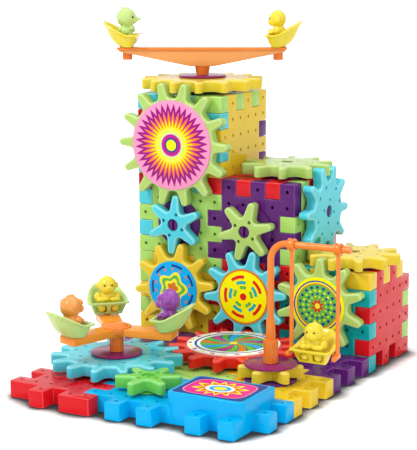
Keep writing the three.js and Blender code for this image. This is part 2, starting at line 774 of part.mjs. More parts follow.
function hanger(name, side) {
  const clip = new THREE.LatheGeometry([
    [tubeRadius + runningGap, -clipWidth / 2],
    [clipRadius, -clipWidth / 2],
    [clipRadius, -clipGroove / 2],
    [clipRadius - clipGroove / 2, -clipGroove / 2],
    [clipRadius - clipGroove / 2, clipGroove / 2],
    [clipRadius, clipGroove / 2],
    [clipRadius, clipWidth / 2],
    [tubeRadius + runningGap, clipWidth / 2],
    [tubeRadius + runningGap, -clipWidth / 2],
  ].map(([r, z]) => new THREE.Vector2(r, z)), clipSteps).rotateZ(Math.PI / 2).translate(0, 0, barLevel);
  const rodLow = rimUnder - runningGap;
  const rod = column(hangerRadius, rodLow, barLevel - tubeRadius - runningGap * 2, tubeSteps);
  const hook = new THREE.Shape([
    new THREE.Vector2(hookBack, rodLow),
    new THREE.Vector2(-hookReach, rodLow - hookDrop + hookThick),
    new THREE.Vector2(-hookReach, rodLow - hookDrop),
    new THREE.Vector2(hookBack, rodLow - hookThick),
  ]);
  const arm = slab(hook, -hangerRadius, hangerRadius).rotateX(Math.PI / 2).rotateZ(Math.PI / 2);
  const ledge = new THREE.BoxGeometry(hookLip + hangerRadius, hookThick, hookThick)
    .translate(-side * (hookLip + hangerRadius) / 2, 0, rodLow - hookThick / 2);
  const mesh = place(name, join(clip, rod, arm, ledge), 'orange', swingFrame);
  mesh.position.x = seatPlace + side * hangerOffset;
}

hanger('hanger_left', -1);
hanger('hanger_right', 1);

// The origin goes to the middle of the bottom of the whole set.
group.updateMatrixWorld(true);
const bounds = new THREE.Box3().setFromObject(group, true);
const middle = bounds.getCenter(new THREE.Vector3()).setZ(bounds.min.z);
for (const frame of group.children) frame.position.sub(middle);

export default group;
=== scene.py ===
# %% [markdown]
# # A gear building set, dressed for the camera
# The toy is a set of square tiles with tabs, pushed together into three towers on a tiled base. Gears
# turn on spindles that push into the tiles, and three of them carry rides: a see-saw, a carousel and a
# swing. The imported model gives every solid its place, and this script gives every piece its real shape
# and finish.

# %% Load the frame
import math
from contextlib import contextmanager
import bmesh
import bpy
from mathutils import Matrix, Vector


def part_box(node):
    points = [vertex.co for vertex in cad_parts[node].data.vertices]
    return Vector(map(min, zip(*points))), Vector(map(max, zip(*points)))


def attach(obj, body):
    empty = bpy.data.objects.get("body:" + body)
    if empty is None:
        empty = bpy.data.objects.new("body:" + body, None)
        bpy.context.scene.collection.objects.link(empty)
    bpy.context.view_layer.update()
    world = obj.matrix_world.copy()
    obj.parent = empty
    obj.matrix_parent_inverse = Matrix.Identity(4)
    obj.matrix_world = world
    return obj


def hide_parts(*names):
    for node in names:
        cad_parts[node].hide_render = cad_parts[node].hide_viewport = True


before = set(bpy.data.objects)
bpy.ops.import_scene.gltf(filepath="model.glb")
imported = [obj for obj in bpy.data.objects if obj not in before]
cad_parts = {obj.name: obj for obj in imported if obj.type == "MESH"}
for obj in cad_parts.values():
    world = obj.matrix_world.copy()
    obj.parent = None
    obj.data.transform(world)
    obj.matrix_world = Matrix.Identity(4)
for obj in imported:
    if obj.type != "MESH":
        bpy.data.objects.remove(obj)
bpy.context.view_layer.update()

# %% [markdown]
# ## The grid
# Every piece of the set sits on one grid. A tile is six cells wide and one cell thick, and pin holes sit
# in the middle of the cells. Here the grid's own origin is found from a tile, so that a place can be
# written in cells.

# %% The grid and its origin
mm = 0.001
cell = 12 * mm
seam = 0.15 * mm
tile_side = 6
corner_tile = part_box("front_left_low")
origin = Vector((corner_tile[0].x - seam, corner_tile[1].y - cell + seam, corner_tile[0].z - seam))
# How far each facing is tipped up and then turned, in degrees
facings = {"top": (0, 0), "front": (90, 0), "right": (90, 90), "back": (90, 180), "left": (90, -90)}


def spot(x, y, z):
    """A place in cells as a point of the frame."""
    return origin + Vector((x, y, z)) * cell


def stand(facing, x, y, z, turn=0.0):
    """The matrix that takes a flat-lying piece to its place and facing."""
    tip, yaw = (math.radians(a) for a in facings[facing])
    tipped = Matrix.Rotation(yaw, 4, "Z") @ Matrix.Rotation(tip, 4, "X")
    return Matrix.Translation(spot(x, y, z)) @ tipped @ Matrix.Rotation(turn, 4, "Z")


print("grid origin in mm:", [round(v / mm, 2) for v in origin])

# %% [markdown]
# ## The camera
# The photograph was taken with a long lens, from the right of the front wall and a little above. The
# angles, distance and lens come from matching the tile corners, whose places on the grid are known.

# %% The camera
camera_turn, camera_height, camera_roll = 29.54, 10.61, -0.34
camera_spot = spot(51.749, -82.374, 25.782)
photo_height, focal_pixels = 450, 1556.6
lens_data = bpy.data.cameras.new("camera")
lens_data.sensor_fit = "VERTICAL"
lens_data.sensor_height = 36
lens_data.lens = focal_pixels / photo_height * lens_data.sensor_height
lens_data.clip_end = 20
camera = bpy.data.objects.new("camera", lens_data)
bpy.context.scene.collection.objects.link(camera)
look = Matrix.Rotation(math.radians(camera_turn), 4, "Z")
look = look @ Matrix.Rotation(math.radians(90 - camera_height), 4, "X")
look = look @ Matrix.Rotation(math.radians(camera_roll), 4, "Z")
camera.matrix_world = Matrix.Translation(camera_spot) @ look
bpy.context.scene.camera = camera
print("lens in mm:", round(lens_data.lens, 1))

# %% [markdown]
# ## Shader maths as sums
# A pattern is easier to read as a formula than as a page of linked nodes. Wire wraps a node's socket, and
# the usual operators on wires add the Math nodes. Paint is one material being mixed, and its node method
# adds any other node.


# %% Wires and paint
class Wire:
    """A socket that can be added, multiplied and compared."""

    def __init__(self, paint, socket):
        self.paint = paint
        self.socket = socket

    def maths(self, operation, *others):
        return self.paint.node("ShaderNodeMath", {"operation": operation}, [self, *others])

    def __add__(self, other):
        return self.maths("ADD", other)

    def __mul__(self, other):
        return self.maths("MULTIPLY", other)

    def __sub__(self, other):
        return self.maths("SUBTRACT", other)

    def __rsub__(self, other):
        return self.paint.node("ShaderNodeMath", {"operation": "SUBTRACT"}, [other, self])

    def __truediv__(self, other):
        return self.maths("DIVIDE", other)

    def __lt__(self, other):
        return self.maths("LESS_THAN", other)

    def __gt__(self, other):
        return self.maths("GREATER_THAN", other)

    __radd__ = __add__
    __rmul__ = __mul__


class Paint:
    """A material, or a world, in the making."""

    def __init__(self, owner):
        owner.use_nodes = True
        self.owner = owner
        self.tree = owner.node_tree
        self.surface = self.tree.nodes.get("Principled BSDF") or self.tree.nodes["Background"]

    def node(self, kind, settings=None, inputs=None, output=0):
        """Adds a node: its settings first, then the values or wires of its sockets."""
        made = self.tree.nodes.new(kind)
        for key, value in (settings or {}).items():
            setattr(made, key, value)
        pairs = inputs.items() if isinstance(inputs, dict) else enumerate(inputs or [])
        for key, value in pairs:
            self.join(made.inputs[key], value)
        return Wire(self, made.outputs[output])

    def join(self, socket, value):
        if isinstance(value, Wire):
            self.tree.links.new(value.socket, socket)
        else:
            socket.default_value = value

    def mix(self, factor, low, high):
        """A colour between two, by a factor."""
        settings = {"data_type": "RGBA"}
        return self.node("ShaderNodeMix", settings, {0: factor, 6: low, 7: high}, 2)

    def place(self, centre=(0, 0, 0)):
        """The surface point from a centre, as three wires in metres."""
        coords = self.node("ShaderNodeTexCoord", output="Object")
        moved = self.node("ShaderNodeVectorMath", {"operation": "SUBTRACT"}, [coords, centre])
        split = self.node("ShaderNodeSeparateXYZ", inputs=[moved])
        outs = split.socket.node.outputs
        return [Wire(self, outs[k]) for k in range(3)]

    def grain(self, scale, detail=2.0):
        """Noise from 0 to 1 over the piece's own coordinates."""
        coords = self.node("ShaderNodeTexCoord", output="Object")
        inputs = {"Vector": coords, "Scale": scale, "Detail": detail}
        return self.node("ShaderNodeTexNoise", inputs=inputs)

    def feed(self, **sockets):
        """Sets the sockets of the surface and gives back the material."""
        for name, value in sockets.items():
            self.join(self.surface.inputs[name.replace("_", " ")], value)
        return self.owner


def tint(code, share=1.0):
    """A colour written as on a screen, as linear light, darkened by a share."""
    channels = [int(code[k:k + 2], 16) / 255 for k in (1, 3, 5)]
    linear = [c / 12.92 if c <= 0.04045 else ((c + 0.055) / 1.055) ** 2.4 for c in channels]
    return (*[c * share for c in linear], 1.0)


print("wires and paint ready; half grey as light:", round(tint("#808080")[0], 3))

# %% [markdown]
# ## Moulded plastic
# The pieces are moulded in bright glossy plastic. Real mouldings aren't one even colour: the melt flows in
# faint clouds, and the mould leaves a very fine skin. A broad noise shifts the colour and the roughness a
# little, and a fine one shifts the roughness and gives the skin its bump. The riders, tubs and some other
# pieces shine more, so their finishes have a clear coat. Every finish also has a paler twin for the rounding
# along each edge: a painted highlight, standing in for the light that a moulded edge catches.


# %% Plastic finishes
cloud_scale, skin_scale, skin_depth = 34.0, 900.0, 0.05 * mm
plastic_sheen, coat_roughness = 0.15, 0.08


def plastic(name, code, depth=0.90, gloss=0.14, coat=0.0):
    """A plastic whose colour drifts between a share of its depth and the whole."""
    paint = Paint(bpy.data.materials.new(name))
    clouds = paint.grain(cloud_scale, 3.0)
    skin = paint.grain(skin_scale)
    colour = paint.mix(clouds, tint(code, depth), tint(code))
    rough = skin * 0.06 + (gloss - 0.04) + clouds * 0.04
    bump = paint.node("ShaderNodeBump", inputs={"Strength": 0.06, "Distance": skin_depth, "Height": skin})
    paint.feed(Specular_IOR_Level=plastic_sheen, Coat_Weight=coat, Coat_Roughness=coat_roughness)
    return paint.feed(Base_Color=colour, Roughness=rough, Normal=bump)


finish_codes = {
    "red": "#dc1720",
    "yellow": "#f0cb2c",
    "lime": "#aedd6c",
    "green": "#72cf56",
    "purple": "#5d1f72",
    "teal": "#0fb0b6",
    "cyan": "#52d2e2",
    "sky": "#00b2ee",
    "orange": "#f5862c",
    "amber": "#f9a04c",
    "violet": "#9440aa",
    "plum": "#96296a",
    "lemon": "#f2dc35",
    "celery": "#c6e287",
    "peach": "#f2a662",
    "scarlet": "#ea2c1e",
    "tangerine": "#fb9a34",
    "pistachio": "#b2d36c",
    "corn": "#ecd03a",
}


def paler(code, share):
    """A colour part of the way to white."""
    channels = [int(code[k:k + 2], 16) for k in (1, 3, 5)]
    return "#" + "".join(f"{round(c + (255 - c) * share):02x}" for c in channels)


coats = {"violet": 0.7, "amber": 0.7, "lemon": 0.5, "celery": 0.4, "pistachio": 0.15, "orange": 0.3}
# How far each finish's painted highlight on its rounding goes towards white
highlight_shares = {"sky": 0.42, "cyan": 0.3, "purple": 0.14}
plain_highlight_share, highlight_depth = 0.2, 0.95
finishes = {}
edges = {}
# Each finish gets a paler twin, painted on the rounding as a highlight
for name, code in finish_codes.items():
    highlight_code = paler(code, highlight_shares.get(name, plain_highlight_share))
    finishes[name] = plastic(f"{name}_plastic", code, coat=coats.get(name, 0.0))
    edges[name] = plastic(f"{name}_edge", highlight_code, highlight_depth)

# %% [markdown]
# ## Working by hand
# Each piece starts as a primitive and is shaped in edit mode. These few helpers do what a hand does between
# the steps: let go of everything, pick faces by their place, cut one shape with another, and set a finished
# copy down in its place on the toy.


# %% Helpers for shaping
def let_go():
    """Back to object mode with nothing selected."""
    if bpy.context.object and bpy.context.object.mode != "OBJECT":
        bpy.ops.object.mode_set(mode="OBJECT")
    bpy.ops.object.select_all(action="DESELECT")


def hold(*objects):
    """Selects these, the first one active."""
    let_go()
    for thing in objects:
        thing.select_set(True)
    bpy.context.view_layer.objects.active = objects[0]
    return objects[0]


@contextmanager
def shaping(thing):
    """Edit mode on one piece."""
    hold(thing)
    bpy.ops.object.mode_set(mode="EDIT")
    yield
    bpy.ops.object.mode_set(mode="OBJECT")


def pick(kind, test):
    """In edit mode, selects the VERT, EDGE or FACE items whose middle passes the test."""
    bpy.ops.mesh.select_mode(type=kind)
    bpy.ops.mesh.select_all(action="DESELECT")
    mesh = bpy.context.object.data
    shape = bmesh.from_edit_mesh(mesh)
    items = {"VERT": shape.verts, "EDGE": shape.edges, "FACE": shape.faces}[kind]
    for item in items:
        corners = [item] if kind == "VERT" else item.verts
        middle = sum((v.co for v in corners), Vector()) / len(corners)
        if test(middle, item):
            item.select_set(True)
    shape.select_flush_mode()
    bmesh.update_edit_mesh(mesh)


def upright(edge, height):
    """Whether an edge rises by more than a height."""
    return abs(edge.verts[0].co.z - edge.verts[1].co.z) > height


def extrude(x=0.0, y=0.0, z=0.0):
    """Draws what is selected out by a distance."""
    bpy.ops.mesh.extrude_region_move(TRANSFORM_OT_translate={"value": (x, y, z)})


def face_outwards():
    """In edit mode, turns every face of the closed shape outwards."""
    bpy.ops.mesh.select_all(action="SELECT")
    bpy.ops.mesh.normals_make_consistent(inside=False)


def freeze(thing):
    """Puts a piece's place, turn and scale into its mesh."""
    hold(thing)
    bpy.ops.object.transform_apply(location=True, rotation=True, scale=True)
    return thing


def two_finishes(thing):
    """Makes room for the finish of the faces and that of the rounding, which is a paler painted highlight."""
    while len(thing.data.materials) < 2:
        thing.data.materials.append(None)


def apply_modifier(thing, kind, **settings):
    """Adds a modifier with its settings and applies it."""
    hold(thing)
    modifier = thing.modifiers.new(kind.lower(), kind)
    for key, value in settings.items():
        setattr(modifier, key, value)
    bpy.ops.object.modifier_apply(modifier=modifier.name)
    return thing


def soften(thing, width, segments=2, angle=40, edge=False):
    """Rounds every sharp edge; on request the rounding takes the second finish, a paler painted highlight."""
    if edge:
        two_finishes(thing)
    return apply_modifier(thing, "BEVEL", width=width, segments=segments, limit_method="ANGLE",
                          angle_limit=math.radians(angle), material=1 if edge else -1)


def merge(*things):
    """Joins pieces into one mesh."""
    hold(*things)
    if len(things) > 1:
        bpy.ops.object.join()
    return bpy.context.object


def carve(thing, tool):
    """Cuts a tool's shape out of a piece and throws the tool away."""
    apply_modifier(thing, "BOOLEAN", operation="DIFFERENCE", object=tool, solver="EXACT")
    bpy.data.objects.remove(tool)
    return thing


def rod(radius, low, high, sides=32, x=0.0, y=0.0, top=None):
    """A round bar standing on its end, from one height to another."""
    let_go()
    top = radius if top is None else top
    bpy.ops.mesh.primitive_cone_add(vertices=sides, radius1=radius, radius2=top,
                                    depth=high - low, location=(x, y, (low + high) / 2))
    return freeze(bpy.context.object)


def block(low, high):
    """A box between two corners."""
    let_go()
    size = [b - a for a, b in zip(low, high)]
    middle = [(a + b) / 2 for a, b in zip(low, high)]
    bpy.ops.mesh.primitive_cube_add(size=1, location=middle, scale=size)
    return freeze(bpy.context.object)


def sheet(low, high, columns=1, rows=1):
    """A flat grid of squares between two corners."""
    let_go()
    bpy.ops.mesh.primitive_grid_add(x_subdivisions=columns, y_subdivisions=rows, size=1,
                                    location=((low[0] + high[0]) / 2, (low[1] + high[1]) / 2, 0))
    flat = bpy.context.object
    flat.scale = (high[0] - low[0], high[1] - low[1], 1)
    return freeze(flat)


def smooth(thing, angle=38):
    """Shades a piece smooth, apart from its sharper edges."""
    hold(thing)
    bpy.ops.object.shade_smooth_by_angle(angle=math.radians(angle))
    return thing


def copy_of(master):
    """A copy with a mesh of its own."""
    hold(master)
    bpy.ops.object.duplicate(linked=False)
    return bpy.context.object


made = []


def settle(thing, name, body, colour, matrix=None, nodes=(), material=None):
    """Sets a piece in its place, names it, paints its empty slots and lets it ride on its body."""
    if matrix is not None:
        thing.matrix_world = matrix
    freeze(thing)
    thing.name = thing.data.name = name
    if not thing.data.materials:
        thing.data.materials.append(None)
    # The second slot takes the paler twin, a painted highlight on the rounding
    for k, finish in enumerate((material or finishes[colour], edges[colour])):
        if k < len(thing.data.materials) and thing.data.materials[k] is None:
            thing.data.materials[k] = finish
    if nodes:
        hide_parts(*nodes)
    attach(thing, body)
    made.append(name)
    return thing


print("shaping helpers ready")

# %% [markdown]
# ## The tiles
# A tile is a square of cells with a ring of tabs: going round the ring, cells are open and filled in turn,
# and one corner at most is filled. It starts as a grid of squares. The open cells are deleted, an inset
# draws the outline in by the seam, the flat shape is pulled down to its thickness, its edges are rounded,
# and a pin hole is cut in the middle of each cell.

# %% One tile of each kind
last = tile_side - 1
corner_cells = {"none": None, "bottomLeft": (0, 0), "bottomRight": (last, 0), "topRight": (last, last),
                "topLeft": (0, last)}
hole_radius, hole_depth, hole_sides, tile_round = 1.3 * mm, 4.5 * mm, 12, 0.6 * mm


def tile_cells(corner, column=0, row=0):
    """The filled cells of a tile whose lower left corner is at a column and a row."""
    cells = set()
    for u in range(tile_side):
        for v in range(tile_side):
            in_row, in_column = 0 < u < last, 0 < v < last
            filled = in_row and in_column
            if in_row and not in_column:
                filled = u % 2 == (0 if v == 0 else 1)
            if in_column and not in_row:
                filled = v % 2 == (0 if u == last else 1)
            if not in_row and not in_column:
                filled = corner_cells[corner] == (u, v)
            if filled:
                cells.add((u + column, v + row))
    return cells


def tile_plate(cells, columns, rows, holes):
    """A flat-lying plate of the filled cells, with a pin hole in each of some cells."""
    plate = sheet((0, 0), (columns * cell, rows * cell), columns, rows)
    with shaping(plate):
        pick("FACE", lambda c, f: (int(c.x // cell), int(c.y // cell)) not in cells)
        bpy.ops.mesh.delete(type="FACE")
        bpy.ops.mesh.select_all(action="SELECT")
        bpy.ops.mesh.inset(thickness=seam, use_boundary=True, use_even_offset=True)
        bpy.ops.mesh.select_all(action="INVERT")
        bpy.ops.mesh.delete(type="FACE")
        bpy.ops.mesh.select_all(action="SELECT")
        bpy.ops.mesh.dissolve_limited(angle_limit=0.01)
        bpy.ops.mesh.select_all(action="SELECT")
        extrude(z=seam - cell)
        face_outwards()
    # The rounding takes the paler finish, a painted highlight
    soften(plate, tile_round, 3, edge=True)
    pins = [rod(hole_radius, -hole_depth, hole_depth, hole_sides, (u + 0.5) * cell, (v + 0.5) * cell)
            for u, v in sorted(holes)]
    carve(plate, merge(*pins))
    return smooth(plate)


tile_masters = {}
for corner in corner_cells:
    cells = tile_cells(corner)
    tile_masters[corner] = tile_plate(cells, tile_side, tile_side, cells)
print("tile kinds:", {k: len(t.data.polygons) for k, t in tile_masters.items()})

# %% [markdown]
# Each tile of the toy is a copy of its kind, laid on the floor or stood up against its side of a tower. The
# places are in cells: the outer lower left corner as the tile's own face is looked at. The middle of the
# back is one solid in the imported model, and is dressed as the four tiles that it stands for.

# %% Every tile in its place
# Facing, place in cells, filled corner and finish
tile_places = {
    "base_front_left": ("top", (0, -15, 1), "bottomRight", "red"),
    "base_left": ("top", (0, -10, 1), "bottomRight", "yellow"),
    "base_middle": ("top", (5, -10, 1), "bottomRight", "lime"),
    "base_right": ("top", (10, -10, 1), "bottomRight", "yellow"),
    "base_back_left": ("top", (0, -5, 1), "bottomRight", "purple"),
    "base_back_middle": ("top", (5, -5, 1), "bottomRight", "teal"),
    "base_back_right": ("top", (10, -5, 1), "bottomRight", "purple"),
    "front_left_low": ("front", (0, 0, 0), "bottomLeft", "yellow"),
    "front_left_mid": ("front", (0, 0, 5), "bottomRight", "lime"),
    "front_left_high": ("front", (0, 0, 10), "topLeft", "cyan"),
    "front_middle_low": ("front", (5, 0, 0), "topRight", "red"),
    "front_middle_high": ("front", (5, 0, 5), "topRight", "purple"),
    "front_right_low": ("front", (10, 0, 0), "bottomRight", "teal"),
    "side_left_low": ("left", (0, 6, 0), "topRight", "lime"),
    "side_left_mid": ("left", (0, 6, 5), "none", "cyan"),
    "side_left_high": ("left", (0, 6, 10), "bottomRight", "red"),
    "side_right_high": ("right", (6, 0, 10), "topRight", "yellow"),
    "side_right_mid": ("right", (11, 0, 5), "topRight", "lime"),
    "side_right_low": ("right", (16, 0, 0), "bottomRight", "red"),
    "back_left_high": ("back", (6, 6, 10), "bottomRight", "purple"),
    "back_right_low": ("back", (16, 6, 0), "none", "lime"),
    "top_left": ("top", (0, 0, 16), "bottomRight", "lime"),
    "top_middle": ("top", (5, 0, 11), "bottomLeft", "red"),
    "top_right": ("top", (10, 0, 6), "bottomRight", "yellow"),
}
for node, (facing, place, corner, colour) in tile_places.items():
    settle(copy_of(tile_masters[corner]), f"tile_{node}", "tiles", colour, stand(facing, *place), [node])

# Neighbours share a row of tabs, so the next tile stands one cell less than a tile further on
step = tile_side - 1
panel_tiles = []
for (u, v), colour in {(0, 0): "teal", (step, 0): "yellow", (0, step): "red", (step, step): "cyan"}.items():
    quarter = copy_of(tile_masters["none"])
    quarter.matrix_world = stand("back", 11, 6, 0) @ Matrix.Translation((u * cell, v * cell, 0))
    freeze(quarter)
    quarter.data.materials[0] = finishes[colour]
    # The rounding takes the paler finish, a painted highlight
    quarter.data.materials[1] = edges[colour]
    panel_tiles.append(quarter)
settle(merge(*panel_tiles), "tile_back_middle", "tiles", "teal", nodes=["back_middle_panel"])
print("tiles placed:", len(made))

# %% [markdown]
# ## The motor block
# It is two tiles long and carries the battery box, whose front and right faces run straight down through
# the plate, a hair proud of it so that the two skins don't fight. The box is a block. Its left upright
# edges and the one at the front right are rounded wide, and its top edge is rounded a little.

# %% The motor block
box_length, box_depth, box_height = 56.4 * mm, 43.2 * mm, 9.6 * mm
box_corner, box_round = 4 * mm, 0.8 * mm
motor_cells = tile_cells("none") | tile_cells("none", step)
box_right, box_front, proud = 2 * step * cell - seam, cell + seam, 0.05 * mm
box_left = box_right - box_length
under_box = {(u, v) for u, v in motor_cells
             if (u + 0.5) * cell > box_left and 0 < v < last and u < 2 * step}
motor_plate = tile_plate(motor_cells, 2 * step + 1, tile_side, motor_cells - under_box)
battery_box = block((box_left, box_front - proud, seam - cell + tile_round),
                    (box_right + proud, box_front + box_depth, box_height))
with shaping(battery_box):
    pick("EDGE", lambda c, e: upright(e, box_height / 2)
         and (c.x < box_right - cell or c.y < box_front + cell))
    bpy.ops.mesh.bevel(offset=box_corner, segments=6)
two_finishes(battery_box)
with shaping(battery_box):
    pick("EDGE", lambda c, e: c.z > box_height - 0.1 * mm)
    # The rounding of the top takes the paler finish, a painted highlight
    bpy.ops.mesh.bevel(offset=box_round, segments=3, material=1)
motor = smooth(merge(motor_plate, battery_box))
motor_frame = stand("top", 5, -15, 1)
settle(motor, "motor_case", "tiles", "sky", motor_frame, ["motor_block"])
print("motor case: faces", len(motor.data.polygons), "pin holes", len(motor_cells - under_box))

# %% [markdown]
# ## Spindles
# A spindle is a flat flange with a stout axle on it. The axle's end has a slot, so that a coin can turn it
# out of the tile. There are two kinds: one with a wide flange, and a narrow one for the motor's pinion.

# %% Spindles
gear_lift, gear_thick, roof_thick = 2.4 * mm, 8.2 * mm, 0.7 * mm
gear_top = gear_lift + gear_thick
seat_gap, running_gap, hair = 0.3 * mm, 0.3 * mm, 0.1 * mm
flange_radius, motor_flange_radius, flange_round = 18 * mm, 10.5 * mm, 0.35 * mm
flange_top = seat_gap + 1.3 * mm
axle_radius, axle_top = 4.3 * mm, gear_top - roof_thick - running_gap
slot_half_width, slot_half_length, slot_depth = 0.8 * mm, 3.4 * mm, 4.5 * mm


def spindle(radius):
    """A spindle with a flange of some radius."""
    thing = rod(radius, seat_gap, flange_top, 64)
    with shaping(thing):
        pick("FACE", lambda c, f: f.normal.z > 0.9)
        bpy.ops.mesh.inset(thickness=radius - axle_radius)
        extrude(z=axle_top - flange_top)
        pick("EDGE", lambda c, e: c.z > axle_top - hair
             or (c.z > flange_top - hair and c.xy.length > radius * 0.97))
        bpy.ops.mesh.bevel(offset=flange_round, segments=2)
    carve(thing, block((-slot_half_width, -slot_half_length, axle_top - slot_depth),
                       (slot_half_width, slot_half_length, axle_top + 1 * mm)))
    return smooth(thing)


wide_spindle = spindle(flange_radius)
motor_spindle = spindle(motor_flange_radius)
print("spindle faces:", len(wide_spindle.data.polygons), "axle top in mm:", round(axle_top / mm, 1))

# %% [markdown]
# ## Gears
# A gear's outline is drawn flat first. A circle with two points for each tooth is the root, and turning
# every second point sets the width of a tooth. The tooth edges are then drawn outwards and narrowed one by
# one, all faces are dissolved into one, and the corners are rounded: wide at the tips, small in the
# valleys.

# %% A gear's flat outline
addendum, dedendum, tooth_root, tooth_tip = 4.25 * mm, 7.2 * mm, 8.2 * mm, 5.8 * mm
valley_round = 2.0 * mm


def tooth_angle(point, teeth):
    """How far a point's angle is from the nearest tooth's middle."""
    pitch = 2 * math.pi / teeth
    return (math.atan2(point.y, point.x) + pitch / 2) % pitch - pitch / 2


def gear_outline(teeth):
    """The flat shape of a gear, at the height of its top."""
    root = teeth * cell / 4 - dedendum
    tip = teeth * cell / 4 + addendum
    let_go()
    bpy.ops.mesh.primitive_circle_add(vertices=teeth * 2, radius=root, fill_type="NGON",
                                      location=(0, 0, gear_top),
                                      rotation=(0, 0, math.pi / 2 / teeth - math.pi / 2))
    wheel = freeze(bpy.context.object)
    root_angle = math.asin(tooth_root / 2 / root)
    turn = root_angle - math.pi / 2 / teeth
    inner = root * math.cos(root_angle)
    # The sides narrow evenly, and a tooth is tooth_tip wide where its round tip starts
    slope = (tooth_root - tooth_tip) / 2 / (tip - tooth_tip / 2 - inner)
    tip_half = tooth_root / 2 - slope * (tip - inner)
    valley = 2 * root * math.sin(math.pi / teeth - root_angle)
    with shaping(wheel):
        for side in (1, -1):
            pick("VERT", lambda c, v: tooth_angle(c, teeth) * side > 0)
            bpy.ops.transform.rotate(value=-turn * side, orient_axis="Z", center_override=(0, 0, 0))
        pick("EDGE", lambda c, e: abs(tooth_angle(c, teeth)) < 0.01)
        bpy.ops.mesh.extrude_region_move()
        bpy.ops.transform.resize(value=(tip / inner, tip / inner, 1), center_override=(0, 0, 0))
        narrow = tip_half / (tooth_root / 2 * tip / inner)
        for k in range(teeth):
            a = 2 * math.pi * k / teeth
            crown = Vector((math.cos(a), math.sin(a))) * tip
            pick("VERT", lambda c, v: c.xy.length > root * 1.05 and c.xy.angle(crown) < math.pi / teeth)
            bpy.ops.transform.resize(value=(narrow, narrow, 1), center_override=(*crown, gear_top))
        bpy.ops.mesh.select_all(action="SELECT")
        bpy.ops.mesh.dissolve_faces()
        pick("VERT", lambda c, v: c.xy.length > root * 1.05)
        bpy.ops.mesh.bevel(affect="VERTICES", offset=tip_half * 0.92, segments=7)
        pick("VERT", lambda c, v: c.xy.length < root * 1.02)
        bpy.ops.mesh.bevel(affect="VERTICES", offset=min(valley_round, valley * 0.44), segments=4)
    return wheel


print("gear reach in mm:", {n: round((n * cell / 4 + addendum) / mm, 1) for n in (6, 10, 14)})

# %% [markdown]
# The flat shape is pulled down to its thickness and its rims are rounded, the outer one wide. The bore is
# cut, which stops short of the top where a label lies on the gear. A gear without a label has pin holes at
# half cells round the bore.

# %% Gear blanks
back_round, rim_round = 0.6 * mm, 1.5 * mm
bore_radius = axle_radius + running_gap
hole_rings = {
    6: [(1, 1)],
    10: [(1, 1), (3, 1), (1, 3)],
    14: [(1, 1), (3, 1), (1, 3), (3, 3), (5, 1), (1, 5)],
}


def gear_pins(teeth):
    """The pins that cut a gear's holes, some half cells from its middle."""
    half = cell / 2
    places = [(x * half, y * half) for a, b in hole_rings[teeth] for x in (-a, a) for y in (-b, b)]
    return [rod(hole_radius, gear_top - hole_depth, gear_top + 1 * mm, hole_sides, x, y) for x, y in places]


def gear_blank(teeth, labelled):
    """A gear whose top is whole for a label or has pin holes."""
    wheel = gear_outline(teeth)
    with shaping(wheel):
        bpy.ops.mesh.select_all(action="SELECT")
        extrude(z=-gear_thick)
        face_outwards()
    two_finishes(wheel)
    with shaping(wheel):
        # Both rims' roundings take the paler finish, a painted highlight
        pick("EDGE", lambda c, e: c.z < gear_lift + hair)
        bpy.ops.mesh.bevel(offset=back_round, segments=2, material=1)
        pick("EDGE", lambda c, e: c.z > gear_top - hair)
        bpy.ops.mesh.bevel(offset=rim_round, segments=5, material=1)
    bore_top = gear_top - roof_thick if labelled else gear_top + 1 * mm
    carve(wheel, rod(bore_radius, gear_lift - 1 * mm, bore_top, 40))
    if not labelled:
        carve(wheel, merge(*gear_pins(teeth)))
    return smooth(wheel)


blanks = {(n, False): gear_blank(n, False) for n in (6, 10, 14)}
blanks.update({(n, True): gear_blank(n, True) for n in (10, 14)})
print("gear blanks:", {k: len(g.data.polygons) for k, g in blanks.items()})

# %% [markdown]
# The gears go on the grid at whole cells, each turned a share of a tooth pitch so that it meshes with its
# neighbour. Its spindle is set under it, and rides on the tiles, because it doesn't turn.

# %% Every gear in its place
# Teeth, facing, place in cells, turn in pitches, finish, whether a label lies on it, and body
gear_places = {
    "gear_pinion": (6, "top", (8, -12, 1), 0.453, "green", False, "pinion"),
    "gear_carousel": (14, "top", (4, -9, 1), 0, "cyan", False, "carousel"),
    "gear_red": (14, "top", (9, -4, 1), 0, "scarlet", True, "red_gear"),
    "gear_swing": (6, "top", (13, -7, 1), 0.453, "corn", False, "swing"),
    "gear_front_cyan": (10, "front", (8, 0, 4), 0.167, "cyan", True, "front_cyan"),
    "gear_front_yellow": (10, "front", (3, 0, 4), 0.198, "yellow", True, "front_yellow"),
    "gear_front_lime": (10, "front", (13, 0, 4), 0.469, "pistachio", True, "front_lime"),
    "gear_small_lime": (6, "front", (8, 0, 8), 0.229, "pistachio", False, "small_lime"),
    "gear_small_cyan": (6, "front", (3, 0, 8), 0.406, "cyan", False, "small_cyan"),
    "gear_sunburst": (14, "front", (3, 0, 13), 0, "pistachio", True, "sunburst"),
    "gear_seesaw": (14, "top", (3, 3, 16), 0.5, "corn", False, "seesaw"),
    "gear_top_right": (10, "top", (14, 2, 6), 0.354, "corn", False, "top_right_gear"),
    "gear_side": (10, "right", (11, 3, 9), 0.953, "cyan", False, "side_gear"),
    "gear_top_middle": (10, "top", (9, 3, 11), 0.047, "pistachio", False, "top_middle_gear"),
}
for node, (teeth, facing, place, share, colour, labelled, body) in gear_places.items():
    name = node.removeprefix("gear_")
    turn = share / teeth * 2 * math.pi
    wheel = copy_of(blanks[teeth, labelled])
    settle(wheel, f"wheel_{name}", body, colour, stand(facing, *place, turn), [node])
    flange, master = ("green", motor_spindle) if name == "pinion" else ("purple", wide_spindle)
    settle(copy_of(master), f"spindle_{name}", "tiles", flange, stand(facing, *place))
print("pieces so far:", len(made))

# %% [markdown]
# ## Labels
# Five gears carry a round printed label, and the motor block a rounded rectangular one. The prints are plain
# ornaments. An image would do it too, but ornaments made from a label's own polar coordinates stay sharp at
# any size: rings are comparisons of the radius, and a star is a radius that swings in and out with the angle.

